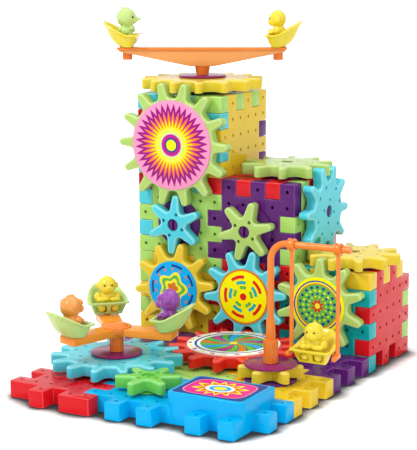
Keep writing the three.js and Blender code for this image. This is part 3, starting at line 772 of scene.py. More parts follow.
# %% Polar patterns
paper_scale, paper_sheen = 700.0, 0.14
ink = {
    "pink": "#f49ac4", "magenta": "#c2188a", "plum": "#8c1f7e", "orange": "#f58a1f", "yellow": "#fff200",
    "lemon": "#f7ee3a", "navy": "#1f3f94", "sky": "#10aef0", "green": "#63bb46", "red": "#e2231a",
    "teal": "#20aeb4", "white": "#ffffff", "rust": "#e0761b", "lilac": "#c9b6e4",
    "mint": "#d9ef7a", "cerise": "#ea1490",
}


class Print(Paint):
    """A printed label: a radius that is 1 at its rim, and an angle in turns about its centre."""

    def __init__(self, name, facing, centre, radius):
        super().__init__(bpy.data.materials.new(name))
        x, y, z = self.place(tuple(centre))
        self.across, self.up = (x, y) if facing == "top" else (x, z)
        self.radius = (self.across * self.across + self.up * self.up).maths("SQRT") / radius
        self.turn = self.up.maths("ARCTAN2", self.across) / (2 * math.pi)
        self.colour = None

    def base(self, code):
        """Covers the label with one ink."""
        self.colour = tint(ink[code])

    def wave(self, count, shift=0.0):
        """A zigzag from 0 to 1 that repeats a number of times round the label."""
        return (self.turn * count + (shift + 2 * count)).maths("PINGPONG", 0.5) * 2

    def lay(self, mask, code):
        """Prints an ink over what is there, where a mask is 1."""
        self.colour = self.mix(mask, self.colour, tint(ink[code]))

    def ring(self, low, high, code, gate=None):
        """A band between two radii, whole or only where a gate is open."""
        mask = (self.radius > low) * (self.radius < high)
        self.lay(mask if gate is None else mask * gate, code)

    def star(self, inner, outer, count, code, shift=0.0):
        """A filled star whose valleys and points lie at two radii."""
        self.lay(self.radius < self.wave(count, shift) * (outer - inner) + inner, code)

    def dots(self, ring_radius, size, count, code, shift=0.0):
        """Round dots evenly spaced on a ring."""
        along = (self.wave(count, shift) * (-0.5) + 0.5) / count * (2 * math.pi) * ring_radius
        across = self.radius - ring_radius
        self.lay((along * along + across * across) < size * size, code)

    def done(self):
        """The finished material: satin paper under the inks."""
        rough = self.grain(paper_scale) * 0.08 + 0.18
        return self.feed(Base_Color=self.colour, Roughness=rough, Specular_IOR_Level=paper_sheen)


print("inks:", len(ink))

# %% [markdown]
# A gear's label is a thin disc that sits in the gear's top and stands a little proud of it. One function
# makes it, sets it on its gear, and lets another function print on it.

# %% A label disc
label_radius = {10: 20.6 * mm, 14: 33.2 * mm}
label_top, label_sunk, label_round = gear_top + 0.8 * mm, 0.3 * mm, 0.25 * mm


def label_disc(node, name, print_label):
    """A label on a gear, printed by a function."""
    teeth, facing, place, _, colour, _, body = gear_places[node]
    radius = label_radius[teeth]
    disc = rod(radius, gear_top - label_sunk, label_top, 96)
    with shaping(disc):
        pick("EDGE", lambda c, e: c.z > label_top - hair)
        bpy.ops.mesh.bevel(offset=label_round, segments=2)
    smooth(disc)
    art = Print(name, facing, spot(*place), radius)
    print_label(art)
    settle(disc, name, body, colour, stand(facing, *place), material=art.done())
    print(name, "is", round(2 * radius / mm, 1), "mm across")


# %% [markdown]
# The large label on the wall is a sunburst: a pink field, a zigzag star in two purples, and orange and
# yellow stars inside it round a ringed dot.


# %% The sunburst label
def sunburst(art):
    art.base("pink")
    art.star(0.74, 0.94, 36, "magenta")
    art.star(0.70, 0.89, 36, "plum")
    art.star(0.60, 0.80, 36, "magenta")
    art.star(0.46, 0.77, 36, "orange")
    art.star(0.28, 0.58, 36, "yellow")
    art.star(0.22, 0.44, 36, "mint", 0.5)
    art.ring(0.0, 0.265, "lilac")
    art.ring(0.0, 0.245, "magenta")
    art.ring(0.0, 0.17, "navy")
    art.ring(0.0, 0.125, "yellow")


label_disc("gear_sunburst", "label_sunburst", sunburst)

# %% [markdown]
# The three smaller wall labels are rings of dashes, a five-lobed flower inside a dashed ring, and rings of
# beads round a little star.


# %% The three smaller wall labels
def dashes(art):
    art.base("yellow")
    art.ring(0.93, 2.0, "rust")
    for low, code, shift in ((0.66, "red", 0.0), (0.46, "teal", 0.12), (0.28, "green", 0.24)):
        art.ring(low, low + 0.12, code, art.wave(5, shift) > 0.42)
    art.ring(0.0, 0.13, "red")


def petals(art):
    art.base("sky")
    art.ring(0.80, 0.89, "navy", art.wave(7) > 0.4)
    art.dots(0.72, 0.05, 14, "rust")
    for reach, code in ((0.64, "lemon"), (0.52, "green"), (0.38, "lemon"), (0.24, "rust")):
        lobes = (art.turn * (5 * 2 * math.pi)).maths("COSINE") * (reach * 0.14) + reach * 0.86
        art.lay(art.radius < lobes, code)


def beads(art):
    art.base("yellow")
    art.ring(0.0, 0.90, "navy")
    art.ring(0.0, 0.85, "lemon")
    art.ring(0.0, 0.80, "rust")
    art.ring(0.0, 0.76, "green")
    art.dots(0.66, 0.055, 18, "navy")
    art.dots(0.54, 0.040, 18, "lemon", 0.5)
    art.dots(0.43, 0.045, 14, "navy")
    art.dots(0.33, 0.030, 14, "lemon", 0.5)
    art.star(0.12, 0.27, 8, "red")
    art.ring(0.0, 0.10, "lemon")


label_disc("gear_front_cyan", "label_dashes", dashes)
label_disc("gear_front_yellow", "label_petals", petals)
label_disc("gear_front_lime", "label_beads", beads)

# %% [markdown]
# The red gear's label is a pinwheel. Its blades are a zigzag of the angle, and adding a share of the radius
# to the angle makes them curve.


# %% The pinwheel label on the red gear
def pinwheel(art):
    art.base("white")
    art.ring(0.90, 0.97, "lemon", art.wave(22) > 0.5)
    art.ring(0.90, 0.97, "red", art.wave(11, 0.25) > 0.82)
    art.ring(0.0, 0.84, "navy")
    art.ring(0.0, 0.79, "white")
    art.ring(0.0, 0.72, "green")
    for shift, code in ((0.0, "magenta"), (0.33, "sky"), (0.66, "rust")):
        bent_turn = art.turn * 3 + art.radius * 0.35 + (shift + 6)
        swirl = bent_turn.maths("PINGPONG", 0.5) * 2
        art.ring(0.08, 0.70, code, swirl > 0.86)
        art.ring(0.08, 0.70, "navy", (swirl > 0.80) * (swirl < 0.85))
    art.ring(0.0, 0.09, "lemon")


label_disc("gear_red", "label_pinwheel", pinwheel)

# %% [markdown]
# The motor block's label has a navy border round a pink field, and a yellow and orange burst round a ringed
# centre. The field is a rounded rectangle, which is what a circle becomes when its squares are made fourth
# powers.

# %% The motor block's label
label_inset, label_corner = 2.6 * mm, 2.6 * mm
label_low = (box_left + label_inset, box_front + label_inset, box_height - 0.2 * mm)
label_high = (box_right - label_inset, box_front + box_depth - label_inset, box_height + 0.15 * mm)
motor_label = block(label_low, label_high)
with shaping(motor_label):
    pick("EDGE", lambda c, e: upright(e, hair))
    bpy.ops.mesh.bevel(offset=label_corner, segments=5)
half_width, half_depth = (label_high[0] - label_low[0]) / 2, (label_high[1] - label_low[1]) / 2
middle = motor_frame @ ((Vector(label_low) + Vector(label_high)) / 2)
art = Print("label_motor", "top", middle, half_width)
x, y = art.across / half_width, art.up / half_depth
field = x.maths("ABSOLUTE").maths("POWER", 4.0) + y.maths("ABSOLUTE").maths("POWER", 4.0)
oval = (x * x + y * y).maths("SQRT")
art.base("navy")
art.lay(field < 0.62, "pink")
art.lay(field < 0.54, "cerise")
art.lay(oval < art.wave(12) * 0.30 + 0.48, "lemon")
art.lay(oval < art.wave(12) * 0.22 + 0.42, "rust")
for reach, code in ((0.40, "white"), (0.30, "sky"), (0.18, "lemon")):
    art.lay(oval < reach, code)
settle(motor_label, "label_motor", "tiles", "sky", motor_frame, material=art.done())
print("motor label in mm:", round(2 * half_width / mm, 1), "by", round(2 * half_depth / mm, 1))

# %% [markdown]
# ## Coupling discs
# A thin purple disc lies on each gear that carries a ride, with a stub that the ride's post pushes over.
# All three are alike, so one is put together from two cylinders, its edges are rounded, and it is copied.

# %% Coupling discs
disc_low = gear_top + seat_gap
disc_high = disc_low + 1.3 * mm
ride_low = disc_high + seat_gap
stub_radius, stub_top = 2.6 * mm, ride_low + 7 * mm
disc_master = rod(flange_radius, disc_low, disc_high, 64)
with shaping(disc_master):
    pick("EDGE", lambda c, e: c.xy.length > flange_radius * 0.9)
    bpy.ops.mesh.bevel(offset=flange_round, segments=2)
disc_master = smooth(merge(disc_master, rod(stub_radius, disc_low + 0.5 * mm, stub_top, 24)))
for name in ("carousel", "seesaw", "swing"):
    facing, place = gear_places[f"gear_{name}"][1:3]
    settle(copy_of(disc_master), f"coupling_{name}", name, "plum", stand(facing, *place), [f"disc_{name}"])
print("rides start in mm above their tiles:", round(ride_low / mm, 1))

# %% [markdown]
# ## Ribbed posts
# The rides stand on ribbed posts. A post is a cylinder with four sides for each rib, and two of the four are
# drawn out. A bump in the finish would be quicker, but it would leave the post's outline round.


# %% A ribbed post
def ribbed(radius, low, high, ribs=12, rib=0.5 * mm):
    """A standing post with ribs round it."""
    post = rod(radius - rib, low, high, ribs * 4)
    with shaping(post):
        pick("FACE", lambda c, f: abs(f.normal.z) < 0.1
             and int(round(math.atan2(c.y, c.x) / (math.pi / 2 / ribs) - 0.5)) % 4 in (0, 1))
        bpy.ops.mesh.extrude_region_move()
        grow = radius / (radius - rib)
        bpy.ops.transform.resize(value=(grow, grow, 1), center_override=(0, 0, 0))
    return post


def dye(colour, *things):
    """Gives pieces a finish of their own before they are merged."""
    for thing in things:
        thing.data.materials.append(finishes[colour])


print("posts and dyes ready")

# %% [markdown]
# ## The carousel
# Three flat arms widen outwards from under a hub. An arm is a block whose outer end is widened in edit mode
# and whose edges are rounded. The hub is a flattened ball on a disc, and a ribbed post with a collar holds
# it up.

# %% The carousel
arm_lift, arm_thick, arm_reach = 11.8 * mm, 5.6 * mm, 43 * mm
arm_inner, arm_outer, arm_round = 13 * mm, 16.5 * mm, 0.8 * mm
hub_radius, hub_height = 8.8 * mm, 2.8 * mm
brim_radius, collar_radius, collar_drop, post_radius = 10.6 * mm, 5.2 * mm, 3.6 * mm, 4.9 * mm
arm_low = ride_low + arm_lift
arm_high = arm_low + arm_thick
carousel_turn, third = math.radians(12), 2 * math.pi / 3
arm = block((0, -arm_inner / 2, arm_low), (arm_reach, arm_inner / 2, arm_high))
with shaping(arm):
    pick("VERT", lambda c, v: c.x > arm_reach / 2)
    bpy.ops.transform.resize(value=(1, arm_outer / arm_inner, 1), center_override=(arm_reach, 0, 0))
soften(arm, arm_round, 3)
arms = [arm]
for k in (1, 2):
    spare = copy_of(arm)
    spare.rotation_euler.z = k * third
    arms.append(freeze(spare))
let_go()
bpy.ops.mesh.primitive_uv_sphere_add(segments=48, ring_count=24, radius=1,
                                     location=(0, 0, arm_high + 0.4 * mm),
                                     scale=(hub_radius, hub_radius, hub_height))
hub = freeze(bpy.context.object)
brim = soften(rod(brim_radius, arm_low + 1.6 * mm, arm_high + 0.9 * mm, 48), 0.5 * mm, 2, 60)
collar = soften(rod(collar_radius, arm_low - collar_drop, arm_low + 1 * mm, 32), 0.4 * mm, 2, 60)
post = ribbed(post_radius, ride_low, arm_low)
dye("orange", hub, brim, collar, post)
dye("tangerine", *arms)
carousel = smooth(merge(*arms, hub, brim, collar, post))
carousel_frame = stand("top", *gear_places["gear_carousel"][2], carousel_turn)
settle(carousel, "carousel_arms", "carousel", "tangerine", carousel_frame, ["carousel_frame"])
print("arms in mm above their tile:", round(arm_low / mm, 1), "to", round(arm_high / mm, 1))

# %% [markdown]
# ## The see-saw
# The beam is a thin plank on a web that deepens towards the middle. The web starts as a block, cut in two
# places, and its lower ends are lifted until it is a wedge on each side of a flat middle, where the foot
# joins it. A tapered foot and two ribbed pegs finish it.

# %% The see-saw
beam_half, beam_width, beam_end, beam_drop = 64 * mm, 15.6 * mm, 3.2 * mm, 14 * mm
plank_thick, web_end_inset, web_side_inset, web_flat = 2.0 * mm, 1.2 * mm, 1.1 * mm, 9 * mm
foot_radius, foot_top_radius = 4.6 * mm, 6.2 * mm
peg_radius, peg_length, beam_reach = 3.7 * mm, 6.3 * mm, 57.2 * mm
beam_turn = math.radians(24)
beam_bottom = ride_low + 6.6 * mm
beam_top = beam_bottom + beam_drop
plank = block((-beam_half, -beam_width / 2, beam_top - plank_thick), (beam_half, beam_width / 2, beam_top))
soften(plank, 0.5 * mm, 2)
web_x, web_y = beam_half - web_end_inset, beam_width / 2 - web_side_inset
web = block((-web_x, -web_y, beam_bottom), (web_x, web_y, beam_top - 1 * mm))
with shaping(web):
    for side in (-1, 1):
        bpy.ops.mesh.select_all(action="SELECT")
        bpy.ops.mesh.bisect(plane_co=(side * web_flat, 0, 0), plane_no=(1, 0, 0))
    pick("VERT", lambda c, v: abs(c.x) > beam_half / 2 and c.z < beam_bottom + 1 * mm)
    bpy.ops.transform.translate(value=(0, 0, beam_drop - beam_end))
soften(web, 0.7 * mm, 2, 20)
foot = rod(foot_radius, ride_low, beam_bottom + 1 * mm, 32, top=foot_top_radius)
pegs = []
for side in (-1, 1):
    peg = ribbed(peg_radius, beam_top - beam_end - peg_length, beam_top - 1 * mm, 8, 0.4 * mm)
    peg.location.x = side * beam_reach
    pegs.append(freeze(peg))
dye("peach", web)
dye("orange", plank, foot, *pegs)
beam = smooth(merge(plank, web, foot, *pegs))
beam_frame = stand("top", *gear_places["gear_seesaw"][2], beam_turn)
settle(beam, "seesaw_plank", "seesaw", "orange", beam_frame, ["seesaw_beam"])
print("beam in mm:", round(2 * beam_half / mm, 1), "long and its top", round(beam_top / mm, 1), "up")

# %% [markdown]
# ## The swing's frame
# A stepped post holds a tube that bends over into the bar. The post is ribbed below and tapers above. The
# tube is one circle of points: drawn up, spun through a quarter turn, and drawn out along the bar.

# %% The swing's frame
bar_level = ride_low + 82.6 * mm
bar_reach, bend_radius, tube_radius = 58.5 * mm, 12 * mm, 2.3 * mm
bend_level = bar_level - bend_radius
lower_radius, lower_top = 5.1 * mm, ride_low + 16 * mm
upper_radius, upper_top_radius, upper_top = 3.4 * mm, 3.0 * mm, ride_low + 30 * mm
let_go()
bpy.ops.mesh.primitive_circle_add(vertices=24, radius=tube_radius, fill_type="NGON",
                                  location=(0, 0, lower_top))
tube = freeze(bpy.context.object)
with shaping(tube):
    bpy.ops.mesh.select_all(action="SELECT")
    extrude(z=bend_level - lower_top)
    bpy.ops.mesh.spin(steps=12, angle=-math.pi / 2, center=(bend_radius, 0, bend_level), axis=(0, 1, 0))
    extrude(x=bar_reach - bend_radius)
    face_outwards()
print("bar level in mm:", round((max(v.co.z for v in tube.data.vertices) - tube_radius) / mm, 1))
lower = soften(ribbed(lower_radius, ride_low, lower_top, 10, 0.35 * mm), 0.3 * mm, 1, 60)
upper = soften(rod(upper_radius, lower_top - 0.5 * mm, upper_top, 24, top=upper_top_radius), 0.4 * mm, 2)
swing_pole = smooth(merge(tube, lower, upper))
swing_frame = stand("top", *gear_places["gear_swing"][2])
settle(swing_pole, "swing_pole", "swing", "orange", swing_frame, ["swing_frame"])

# %% [markdown]
# ## The hangers
# Each hanger clips round the bar with a sleeve between two collars, and drops as a thin rod. It ends in a
# foot that slopes forward beside the tub, and a ledge that reaches under the tub's side. The sleeve is bored
# wider than the bar, so that the seat can swing without touching it.

# %% The hangers
seat_place, seat_drop, tub_sill, tub_half = 32.6 * mm, 78 * mm, 9.4 * mm, 15.2 * mm
collar_radius, collar_thick, collar_shift = 3.3 * mm, 0.9 * mm, 1.7 * mm
sleeve_radius, sleeve_half, sleeve_bore = 3.6 * mm, 2.6 * mm, 2.8 * mm
hanger_radius, toe_front, toe_back, toe_thick, toe_slope = 1.4 * mm, 7.2 * mm, 2.4 * mm, 2.8 * mm, 1.3 * mm
ledge_reach = 3.6 * mm
seat_level = bar_level - seat_drop
toe_top = seat_level + tub_sill - 1.5 * mm - running_gap
toe_low = toe_top - toe_thick
hanger_offset = tub_half + running_gap + hanger_radius


def clip():
    """The sleeve and the two collars that go round the bar."""
    collars = []
    for shift in (-collar_shift, collar_shift):
        let_go()
        bpy.ops.mesh.primitive_torus_add(major_radius=collar_radius, minor_radius=collar_thick,
                                         major_segments=28, minor_segments=12,
                                         location=(shift, 0, bar_level), rotation=(0, math.pi / 2, 0))
        collars.append(freeze(bpy.context.object))
    sleeve = rod(sleeve_radius, -sleeve_half, sleeve_half, 28)
    carve(sleeve, rod(sleeve_bore, -3 * mm, 3 * mm, 28))
    sleeve.rotation_euler.y = math.pi / 2
    sleeve.location.z = bar_level
    return [freeze(sleeve), *collars]


for name, side in (("left", -1), ("right", 1)):
    sleeve_and_collars = clip()
    drop = rod(hanger_radius, toe_top - 1.6 * mm, bar_level - 3.0 * mm, 16)
    toe = block((-hanger_radius, -toe_front, toe_low), (hanger_radius, toe_back, toe_top))
    with shaping(toe):
        pick("VERT", lambda c, v: c.y < 0)
        bpy.ops.transform.translate(value=(0, 0, -toe_slope))
    soften(toe, 0.6 * mm, 2)
    inner, outer = sorted((0, -side * ledge_reach))
    ledge = block((inner, -hanger_radius, toe_low), (outer, hanger_radius, toe_top))
    soften(ledge, 0.4 * mm, 2)
    hanger = smooth(merge(*sleeve_and_collars, drop, toe, ledge))
    hanger.location.x = seat_place + side * hanger_offset
    freeze(hanger)
    settle(hanger, f"hanger_{name}_arm", "swing_seat", "orange", swing_frame, [f"hanger_{name}"])
print("hangers in mm apart:", round(2 * hanger_offset / mm, 1))

# %% [markdown]
# ## The tubs
# A tub is a small bucket seat: low in front, with two holes for the legs, and scooped up high at the back.
# It starts as a flat sheet with rounded corners for the floor. Each ring above is drawn up and sized, and
# then its back half is tilted up about the middle.

# %% One tub's rings
# Height, front, back before the tilt, half width in mm, and tilt in degrees
tub_floor = (0, 4.4, 5.2, 9.8, 0)
tub_rings = [(1.2, 5.0, 9.6, 10.4, 11.2), (3.6, 6.1, 13.1, 11.4, 16.1), (6.0, 7.2, 15.8, 12.3, 20.8),
             (8.1, 8.2, 18.3, 12.9, 24.8)]
back_corner, front_corner, speck = 8.2 * mm, 1.2 * mm, 0.01 * mm
_, floor_front, floor_back, floor_half, _ = (v * mm for v in tub_floor)
tub = sheet((-floor_front, -floor_half), (floor_back, floor_half))
with shaping(tub):
    pick("VERT", lambda c, v: c.x > 0)
    bpy.ops.mesh.bevel(affect="VERTICES", offset=back_corner, segments=12)
    pick("VERT", lambda c, v: c.x < -4 * mm)
    bpy.ops.mesh.bevel(affect="VERTICES", offset=front_corner, segments=3)
    for below, ring in zip([tub_floor, *tub_rings], tub_rings):
        z0, front0, back0, half0, _ = (v * mm for v in below)
        z, front, back, half, _ = (v * mm for v in ring)
        pick("VERT", lambda c, v: abs(c.z - z0) < speck)
        extrude(z=z - z0)
        grow = (front + back) / (front0 + back0)
        centre = (front0 * grow - front) / (1 - grow)
        bpy.ops.transform.resize(value=(grow, half / half0, 1), center_override=(centre, 0, z))
for ring in tub_rings:
    z, tilt = ring[0] * mm, math.radians(ring[4])
    with shaping(tub):
        pick("VERT", lambda c, v: abs(c.z - z) < speck and c.x > speck)
        bpy.ops.transform.rotate(value=tilt, orient_axis="Y", center_override=(0, 0, z))
tub_top = max(v.co.z for v in tub.data.vertices)
print("tub points:", len(tub.data.vertices), "top in mm:", round(tub_top / mm, 1))

# %% [markdown]
# The top face goes, and the open edge is drawn out into a rim that rises at the back. A Solidify modifier
# gives the shell its wall, and two holes with slanting sides let the legs out in front. The tubs on arms
# have a peg below. The swing's tub hangs between its hangers and has none.

# %% The tub's rim, wall and leg holes
rim_length, rim_width, rim_rise, wall_thick, wall_round = 1.18, 1.17, math.radians(8), 1.3 * mm, 0.35 * mm
leg_inner, leg_outer, leg_low, leg_high = 1.4 * mm, 10.9 * mm, 1.7 * mm, 7.1 * mm
leg_slant, leg_round = 2.4 * mm, 1.1 * mm
tub_peg_radius, tub_peg_length, tub_peg_root = 2.2 * mm, 3.6 * mm, 0.6 * mm
with shaping(tub):
    pick("FACE", lambda c, f: len(f.verts) > 4 and c.z > 1 * mm)
    bpy.ops.mesh.delete(type="FACE")
    pick("EDGE", lambda c, e: e.is_boundary)
    extrude(z=0.2 * mm)
    bpy.ops.transform.resize(value=(rim_length, rim_width, 1), center_override=(0, 0, 0))
    pick("VERT", lambda c, v: v.is_boundary and c.x > speck)
    bpy.ops.transform.rotate(value=rim_rise, orient_axis="Y", center_override=(0, 0, tub_rings[-1][0] * mm))
    face_outwards()
apply_modifier(tub, "SOLIDIFY", thickness=wall_thick, offset=-1, use_even_offset=True)
soften(tub, wall_round, 2, 50)
for side in (-1, 1):
    left, right = sorted((side * leg_inner, side * leg_outer))
    hole = block((-12 * mm, left, leg_low), (-3.5 * mm, right, leg_high))
    with shaping(hole):
        pick("VERT", lambda c, v: abs(c.y) > 5 * mm and c.z < 3 * mm)
        bpy.ops.transform.translate(value=(0, -side * leg_slant, 0))
        pick("EDGE", lambda c, e: abs(e.verts[0].co.x - e.verts[1].co.x) > 5 * mm)
        bpy.ops.mesh.bevel(offset=leg_round, segments=3)
    carve(tub, hole)
swing_tub = smooth(copy_of(tub))
tub_master = smooth(merge(tub, rod(tub_peg_radius, -tub_peg_length, tub_peg_root, 16)))
print("tub faces:", len(tub_master.data.polygons))

# %% [markdown]
# ## The figures
# The riders are little moulded animals. Each is put together from squashed balls, like clay: head, body,
# folded arms, legs, ears and snout. A voxel Remesh melts them into one skin and a Smooth modifier rounds
# the creases. A rider looks towards -X and sits at the middle of its tub's floor.


# %% Clay balls and melting
def ball(x, y, z, rx, ry, rz):
    """A squashed ball: its place and its three radii in mm."""
    let_go()
    bpy.ops.mesh.primitive_uv_sphere_add(segments=24, ring_count=14, radius=1,
                                         location=(x * mm, y * mm, z * mm),
                                         scale=(rx * mm, ry * mm, rz * mm))
    return freeze(bpy.context.object)


def both(x, y, z, rx, ry, rz):
    """The same ball on the left and on the right."""
    return [ball(x, y, z, rx, ry, rz), ball(x, -y, z, rx, ry, rz)]


def melt(parts, voxel=0.42 * mm, rounds=5):
    """One smooth skin over all the balls."""
    body = merge(*parts)
    apply_modifier(body, "REMESH", mode="VOXEL", voxel_size=voxel, use_smooth_shade=True)
    apply_modifier(body, "SMOOTH", factor=0.5, iterations=rounds)
    hold(body)
    bpy.ops.object.shade_smooth()
    return body


def seated_body():
    """Belly, chest and the two feet, which every rider has."""
    belly = ball(1.0, 0, 8.6, 5.6, 6.6, 7.2)
    chest = ball(0.6, 0, 13.0, 4.8, 5.6, 3.6)
    feet = both(-3.6, 4.75, 4.5, 3.6, 3.0, 2.9)
    return [belly, chest, *feet]


print("clay ready")

# %% [markdown]
# There are three kinds of rider. The monkey has round ears, a broad muzzle and folded arms. The pup has a
# big round head with small ears, a tuft and a snout. The chick has a beak, a tuft and a ruffled breast.


# %% The three kinds of rider
def monkey():
    head, muzzle = ball(-0.4, 0, 20.6, 6.4, 6.6, 6.5), ball(-4.6, 0, 18.4, 3.2, 4.4, 3.0)
    nose, crown = ball(-7.0, 0, 19.8, 0.9, 1.3, 0.8), ball(0.2, 0, 26.4, 2.6, 1.4, 1.0)
    ears, brows = both(0.6, 6.8, 20.2, 1.4, 1.5, 2.3), both(-4.9, 2.2, 22.5, 1.5, 2.0, 1.1)
    arms = both(-0.6, 7.0, 12.4, 3.0, 2.6, 3.4) + both(-4.6, 4.4, 11.0, 2.4, 4.4, 2.1)
    hand = ball(-6.2, 1.6, 11.8, 1.7, 2.6, 1.6)
    return melt([*seated_body(), head, muzzle, nose, *ears, *brows, *arms, hand, crown])


def pup():
    head, snout = ball(0.4, 0, 20.4, 7.6, 7.6, 7.5), ball(-6.6, 0, 17.8, 3.4, 3.7, 3.0)
    nose = ball(-9.1, 0, 18.9, 1.2, 1.6, 1.0)
    brows, ears = both(-4.6, 3.6, 23.0, 2.5, 2.4, 2.5), both(1.6, 7.0, 22.2, 2.3, 1.8, 2.7)
    tuft = [ball(0.8, 0, 27.6, 3.0, 1.5, 1.3), ball(-1.6, 0, 27.3, 1.4, 1.2, 1.3)]
    tuft.append(ball(3.4, 0, 26.6, 1.6, 1.3, 1.4))
    arms = both(-1.0, 6.4, 11.8, 3.0, 2.3, 3.2) + both(-4.8, 4.4, 10.6, 2.4, 2.6, 1.8)
    return melt([*seated_body(), head, snout, nose, *brows, *ears, *tuft, *arms])


def chick():
    head, face = ball(0.4, 0, 21.6, 7.3, 7.3, 7.3), ball(-5.4, 0, 19.6, 2.5, 3.2, 2.5)
    let_go()
    bpy.ops.mesh.primitive_cone_add(vertices=24, radius1=2.3 * mm, radius2=0.5 * mm, depth=5.2 * mm,
                                    location=(-8.6 * mm, 0, 20.8 * mm), rotation=(0, -math.pi / 2, 0))
    beak = freeze(bpy.context.object)
    tuft = []
    for k in range(5):
        a = k * 1.257
        tuft.append(ball(1.0 + 2.0 * math.cos(a), 2.0 * math.sin(a), 28.2, 1.3, 1.3, 1.3))
    ruffle = []
    for k in range(9):
        a = -2.4 + k * 0.6
        height = 12.6 + (k % 2) * 1.5
        ruffle.append(ball(0.6 - 5.4 * math.cos(a), -5.9 * math.sin(a), height, 1.8, 1.8, 1.8))
    wings = both(0.6, 6.8, 11.8, 3.2, 1.9, 3.0)
    return melt([*seated_body(), head, face, beak, *tuft, *ruffle, *wings])


print("kinds of rider:", [kind.__name__ for kind in (monkey, pup, chick)])

# %% [markdown]
# The monkey and the chick have small dark eyes. They are beads set in after the melting, so that they keep
# their edge and a black finish of their own.

# %% Eyes
eye_paint = plastic("eye_black", "#1b1a1c", 0.8, 0.12)


def give_eyes(figure, x, y, z, wide, high):
    """Sets two dark beads into the face."""
    figure.data.materials.append(None)
    figure.data.materials.append(eye_paint)
    beads = both(x, y, z, 0.7, wide, high)
    for bead in beads:
        bead.data.materials.append(None)
        bead.data.materials.append(eye_paint)
        for face in bead.data.polygons:
            face.material_index = 1
        hold(bead)
        bpy.ops.object.shade_smooth()
    return merge(figure, *beads)


figure_masters = {
    "monkey": give_eyes(monkey(), -6.1, 2.6, 21.3, 0.85, 0.5),
    "pup": pup(),
    "chick": give_eyes(chick(), -5.2, 4.7, 22.4, 0.8, 0.8),
}
print("figures:", {k: len(f.data.polygons) for k, f in figure_masters.items()})

# %% [markdown]
# ## Seating the riders
# Every seat is a tub and a figure at some distance along an arm, with the scooped back outwards. The swing's
# seat faces the front instead.

# %% Tubs and figures in their seats
seat_reach = 38.9 * mm


def seat_matrix(gear, turn, reach, level, spin=0.0):
    """A seat's place: how its arm is turned, how far out and how high it is, and its own turn there."""
    arm_frame = stand("top", *gear_places[gear][2], turn)
    return arm_frame @ Matrix.Translation((reach, 0, level)) @ Matrix.Rotation(spin, 4, "Z")


arm_seats = [seat_matrix("gear_carousel", carousel_turn + k * third, seat_reach, arm_high + seat_gap)
             for k in range(3)]
beam_seats = [seat_matrix("gear_seesaw", beam_turn + k * math.pi, beam_reach, beam_top + seat_gap)
              for k in range(2)]
hung_seat = seat_matrix("gear_swing", 0, seat_place, seat_level, math.pi / 2)
seats = {
    "carousel_right": (arm_seats[0], "carousel", "celery", "purple_pup", "pup", "violet"),
    "carousel_back": (arm_seats[1], "carousel", "celery", "carousel_monkey", "monkey", "lemon"),
    "carousel_left": (arm_seats[2], "carousel", "celery", "orange_pup", "pup", "amber"),
    "seesaw_right": (beam_seats[0], "seesaw", "lemon", "seesaw_monkey", "monkey", "lemon"),
    "seesaw_left": (beam_seats[1], "seesaw", "lemon", "chick", "chick", "celery"),
    "swing": (hung_seat, "swing_seat", "lemon", "swing_monkey", "monkey", "lemon"),
}
for seat, (matrix, body, tub_colour, rider, kind, rider_colour) in seats.items():
    tub = copy_of(swing_tub if seat == "swing" else tub_master)
    figure = copy_of(figure_masters[kind])
    settle(tub, f"bucket_{seat}", body, tub_colour, matrix, [f"tub_{seat}"])
    settle(figure, f"rider_{rider}", body, rider_colour, matrix, [f"figure_{rider}"])
print("seats:", len(seats))

# %% [markdown]
# ## Clearing the bench
# The masters that were copied are not part of the toy, and would show in the render, so they go.

# %% Remove the masters
building_masters = [*tile_masters.values(), *blanks.values(), wide_spindle, motor_spindle]
ride_masters = [disc_master, swing_tub, tub_master, *figure_masters.values()]
for master in [*building_masters, *ride_masters]:
    bpy.data.objects.remove(master)
print("pieces made:", len(made))

# %% [markdown]
# ## The floor
# The toy stands on a plain white floor. Where the camera looks at it, straight or in a gloss, the floor
# glows as white as the backdrop, and close to the toy a painted shadow darkens it, deepest where the edge of
# the base shuts off the sky. To the light itself it is an ordinary white floor, which takes the lamps'
# shadows.

# %% The floor
white, black = (1.0, 1.0, 1.0, 1.0), (0.0, 0.0, 0.0, 1.0)
contact_reach, contact_start, contact_span, contact_curve = 18 * mm, 0.5, 0.42, 1.8
deepest_shade, least_glow = 0.05, 0.35


def seen_rays(paint):
    """1 for what is seen, straight or in gloss or glass, and 0 for the light that falls on things."""
    rays = paint.node("ShaderNodeLightPath", output="Is Camera Ray")
    for kind in ("Is Glossy Ray", "Is Transmission Ray"):
        rays = rays.maths("MAXIMUM", paint.node("ShaderNodeLightPath", output=kind))
    return rays


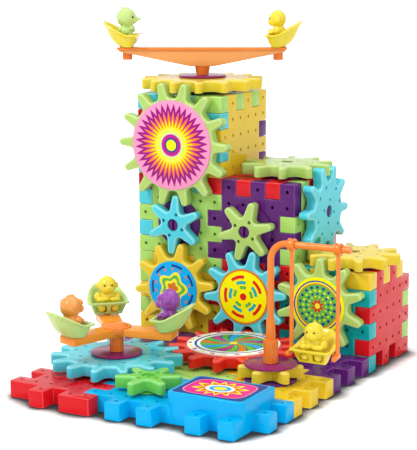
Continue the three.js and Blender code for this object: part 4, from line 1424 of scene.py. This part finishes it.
let_go()
bpy.ops.mesh.primitive_plane_add(size=8, location=(0, 0, -0.3 * mm))
floor = bpy.context.object
floor.name = floor.data.name = "studio_floor"
floor_paint = Paint(bpy.data.materials.new("studio_floor"))
seen = seen_rays(floor_paint)
x, y, _ = floor_paint.place()
distance = (x * x + y * y).maths("SQRT")
# Painted contact shadow: the seen floor darkens where ambient occlusion finds the toy close
open_sky = floor_paint.node("ShaderNodeAmbientOcclusion", {"samples": 16}, {"Distance": contact_reach}, 1)
clear = ((open_sky - contact_start) / contact_span).maths("MINIMUM", 1.0).maths("MAXIMUM", 0.0)
clear = clear.maths("POWER", contact_curve)
painted_contact_shadow = clear * (1 - deepest_shade) + deepest_shade
glow = seen * painted_contact_shadow * (distance - 0.05).maths("MINIMUM", 1.0).maths("MAXIMUM", least_glow)
dust = floor_paint.grain(3.0)
floor_colour = floor_paint.mix(dust, (0.95, 0.95, 0.95, 1), (0.98, 0.98, 0.98, 1))
# The painted shadow darkens the floor's colour for seen rays only
floor_colour = floor_paint.mix(1.0 - seen * (1.0 - painted_contact_shadow), black, floor_colour)
floor_paint.feed(Specular_IOR_Level=0.0, Emission_Color=white)
floor.data.materials.append(floor_paint.feed(Base_Color=floor_colour, Roughness=0.9, Emission_Strength=glow))
print("floor in m:", [round(side, 1) for side in floor.dimensions.xy])

# %% [markdown]
# ## The light
# Three soft boxes light the toy: a small one from the upper left draws the highlights, and two large ones
# fill in from the right and from above. The world is white where it is seen and dimmer as a light, so that
# colours render about as they are written.

# %% The light
world_light = 0.62
bpy.context.scene.world = bpy.data.worlds.new("studio")
sky = Paint(bpy.context.scene.world)
sky.feed(Color=white, Strength=seen_rays(sky) * (1 - world_light) + world_light)


def softbox(name, place, target, size, power):
    """A square lamp at a place in metres that looks at a target."""
    data = bpy.data.lights.new(name, "AREA")
    data.shape = "SQUARE"
    data.size = size
    data.energy = power
    lamp = bpy.data.objects.new(name, data)
    bpy.context.scene.collection.objects.link(lamp)
    lamp.location = place
    lamp.rotation_euler = (Vector(target) - Vector(place)).to_track_quat("-Z", "Y").to_euler()
    return lamp


centre = (0, 0, 0.1)
lamps = [softbox("key_light", (-0.7, -1.1, 1.5), centre, 0.4, 16),
         softbox("fill_light", (1.4, -0.9, 0.9), centre, 1.2, 7),
         softbox("top_light", (0.1, 0.3, 1.8), centre, 1.4, 9)]
bpy.context.scene.view_settings.view_transform = "Standard"
print("lamps:", [lamp.name for lamp in lamps])
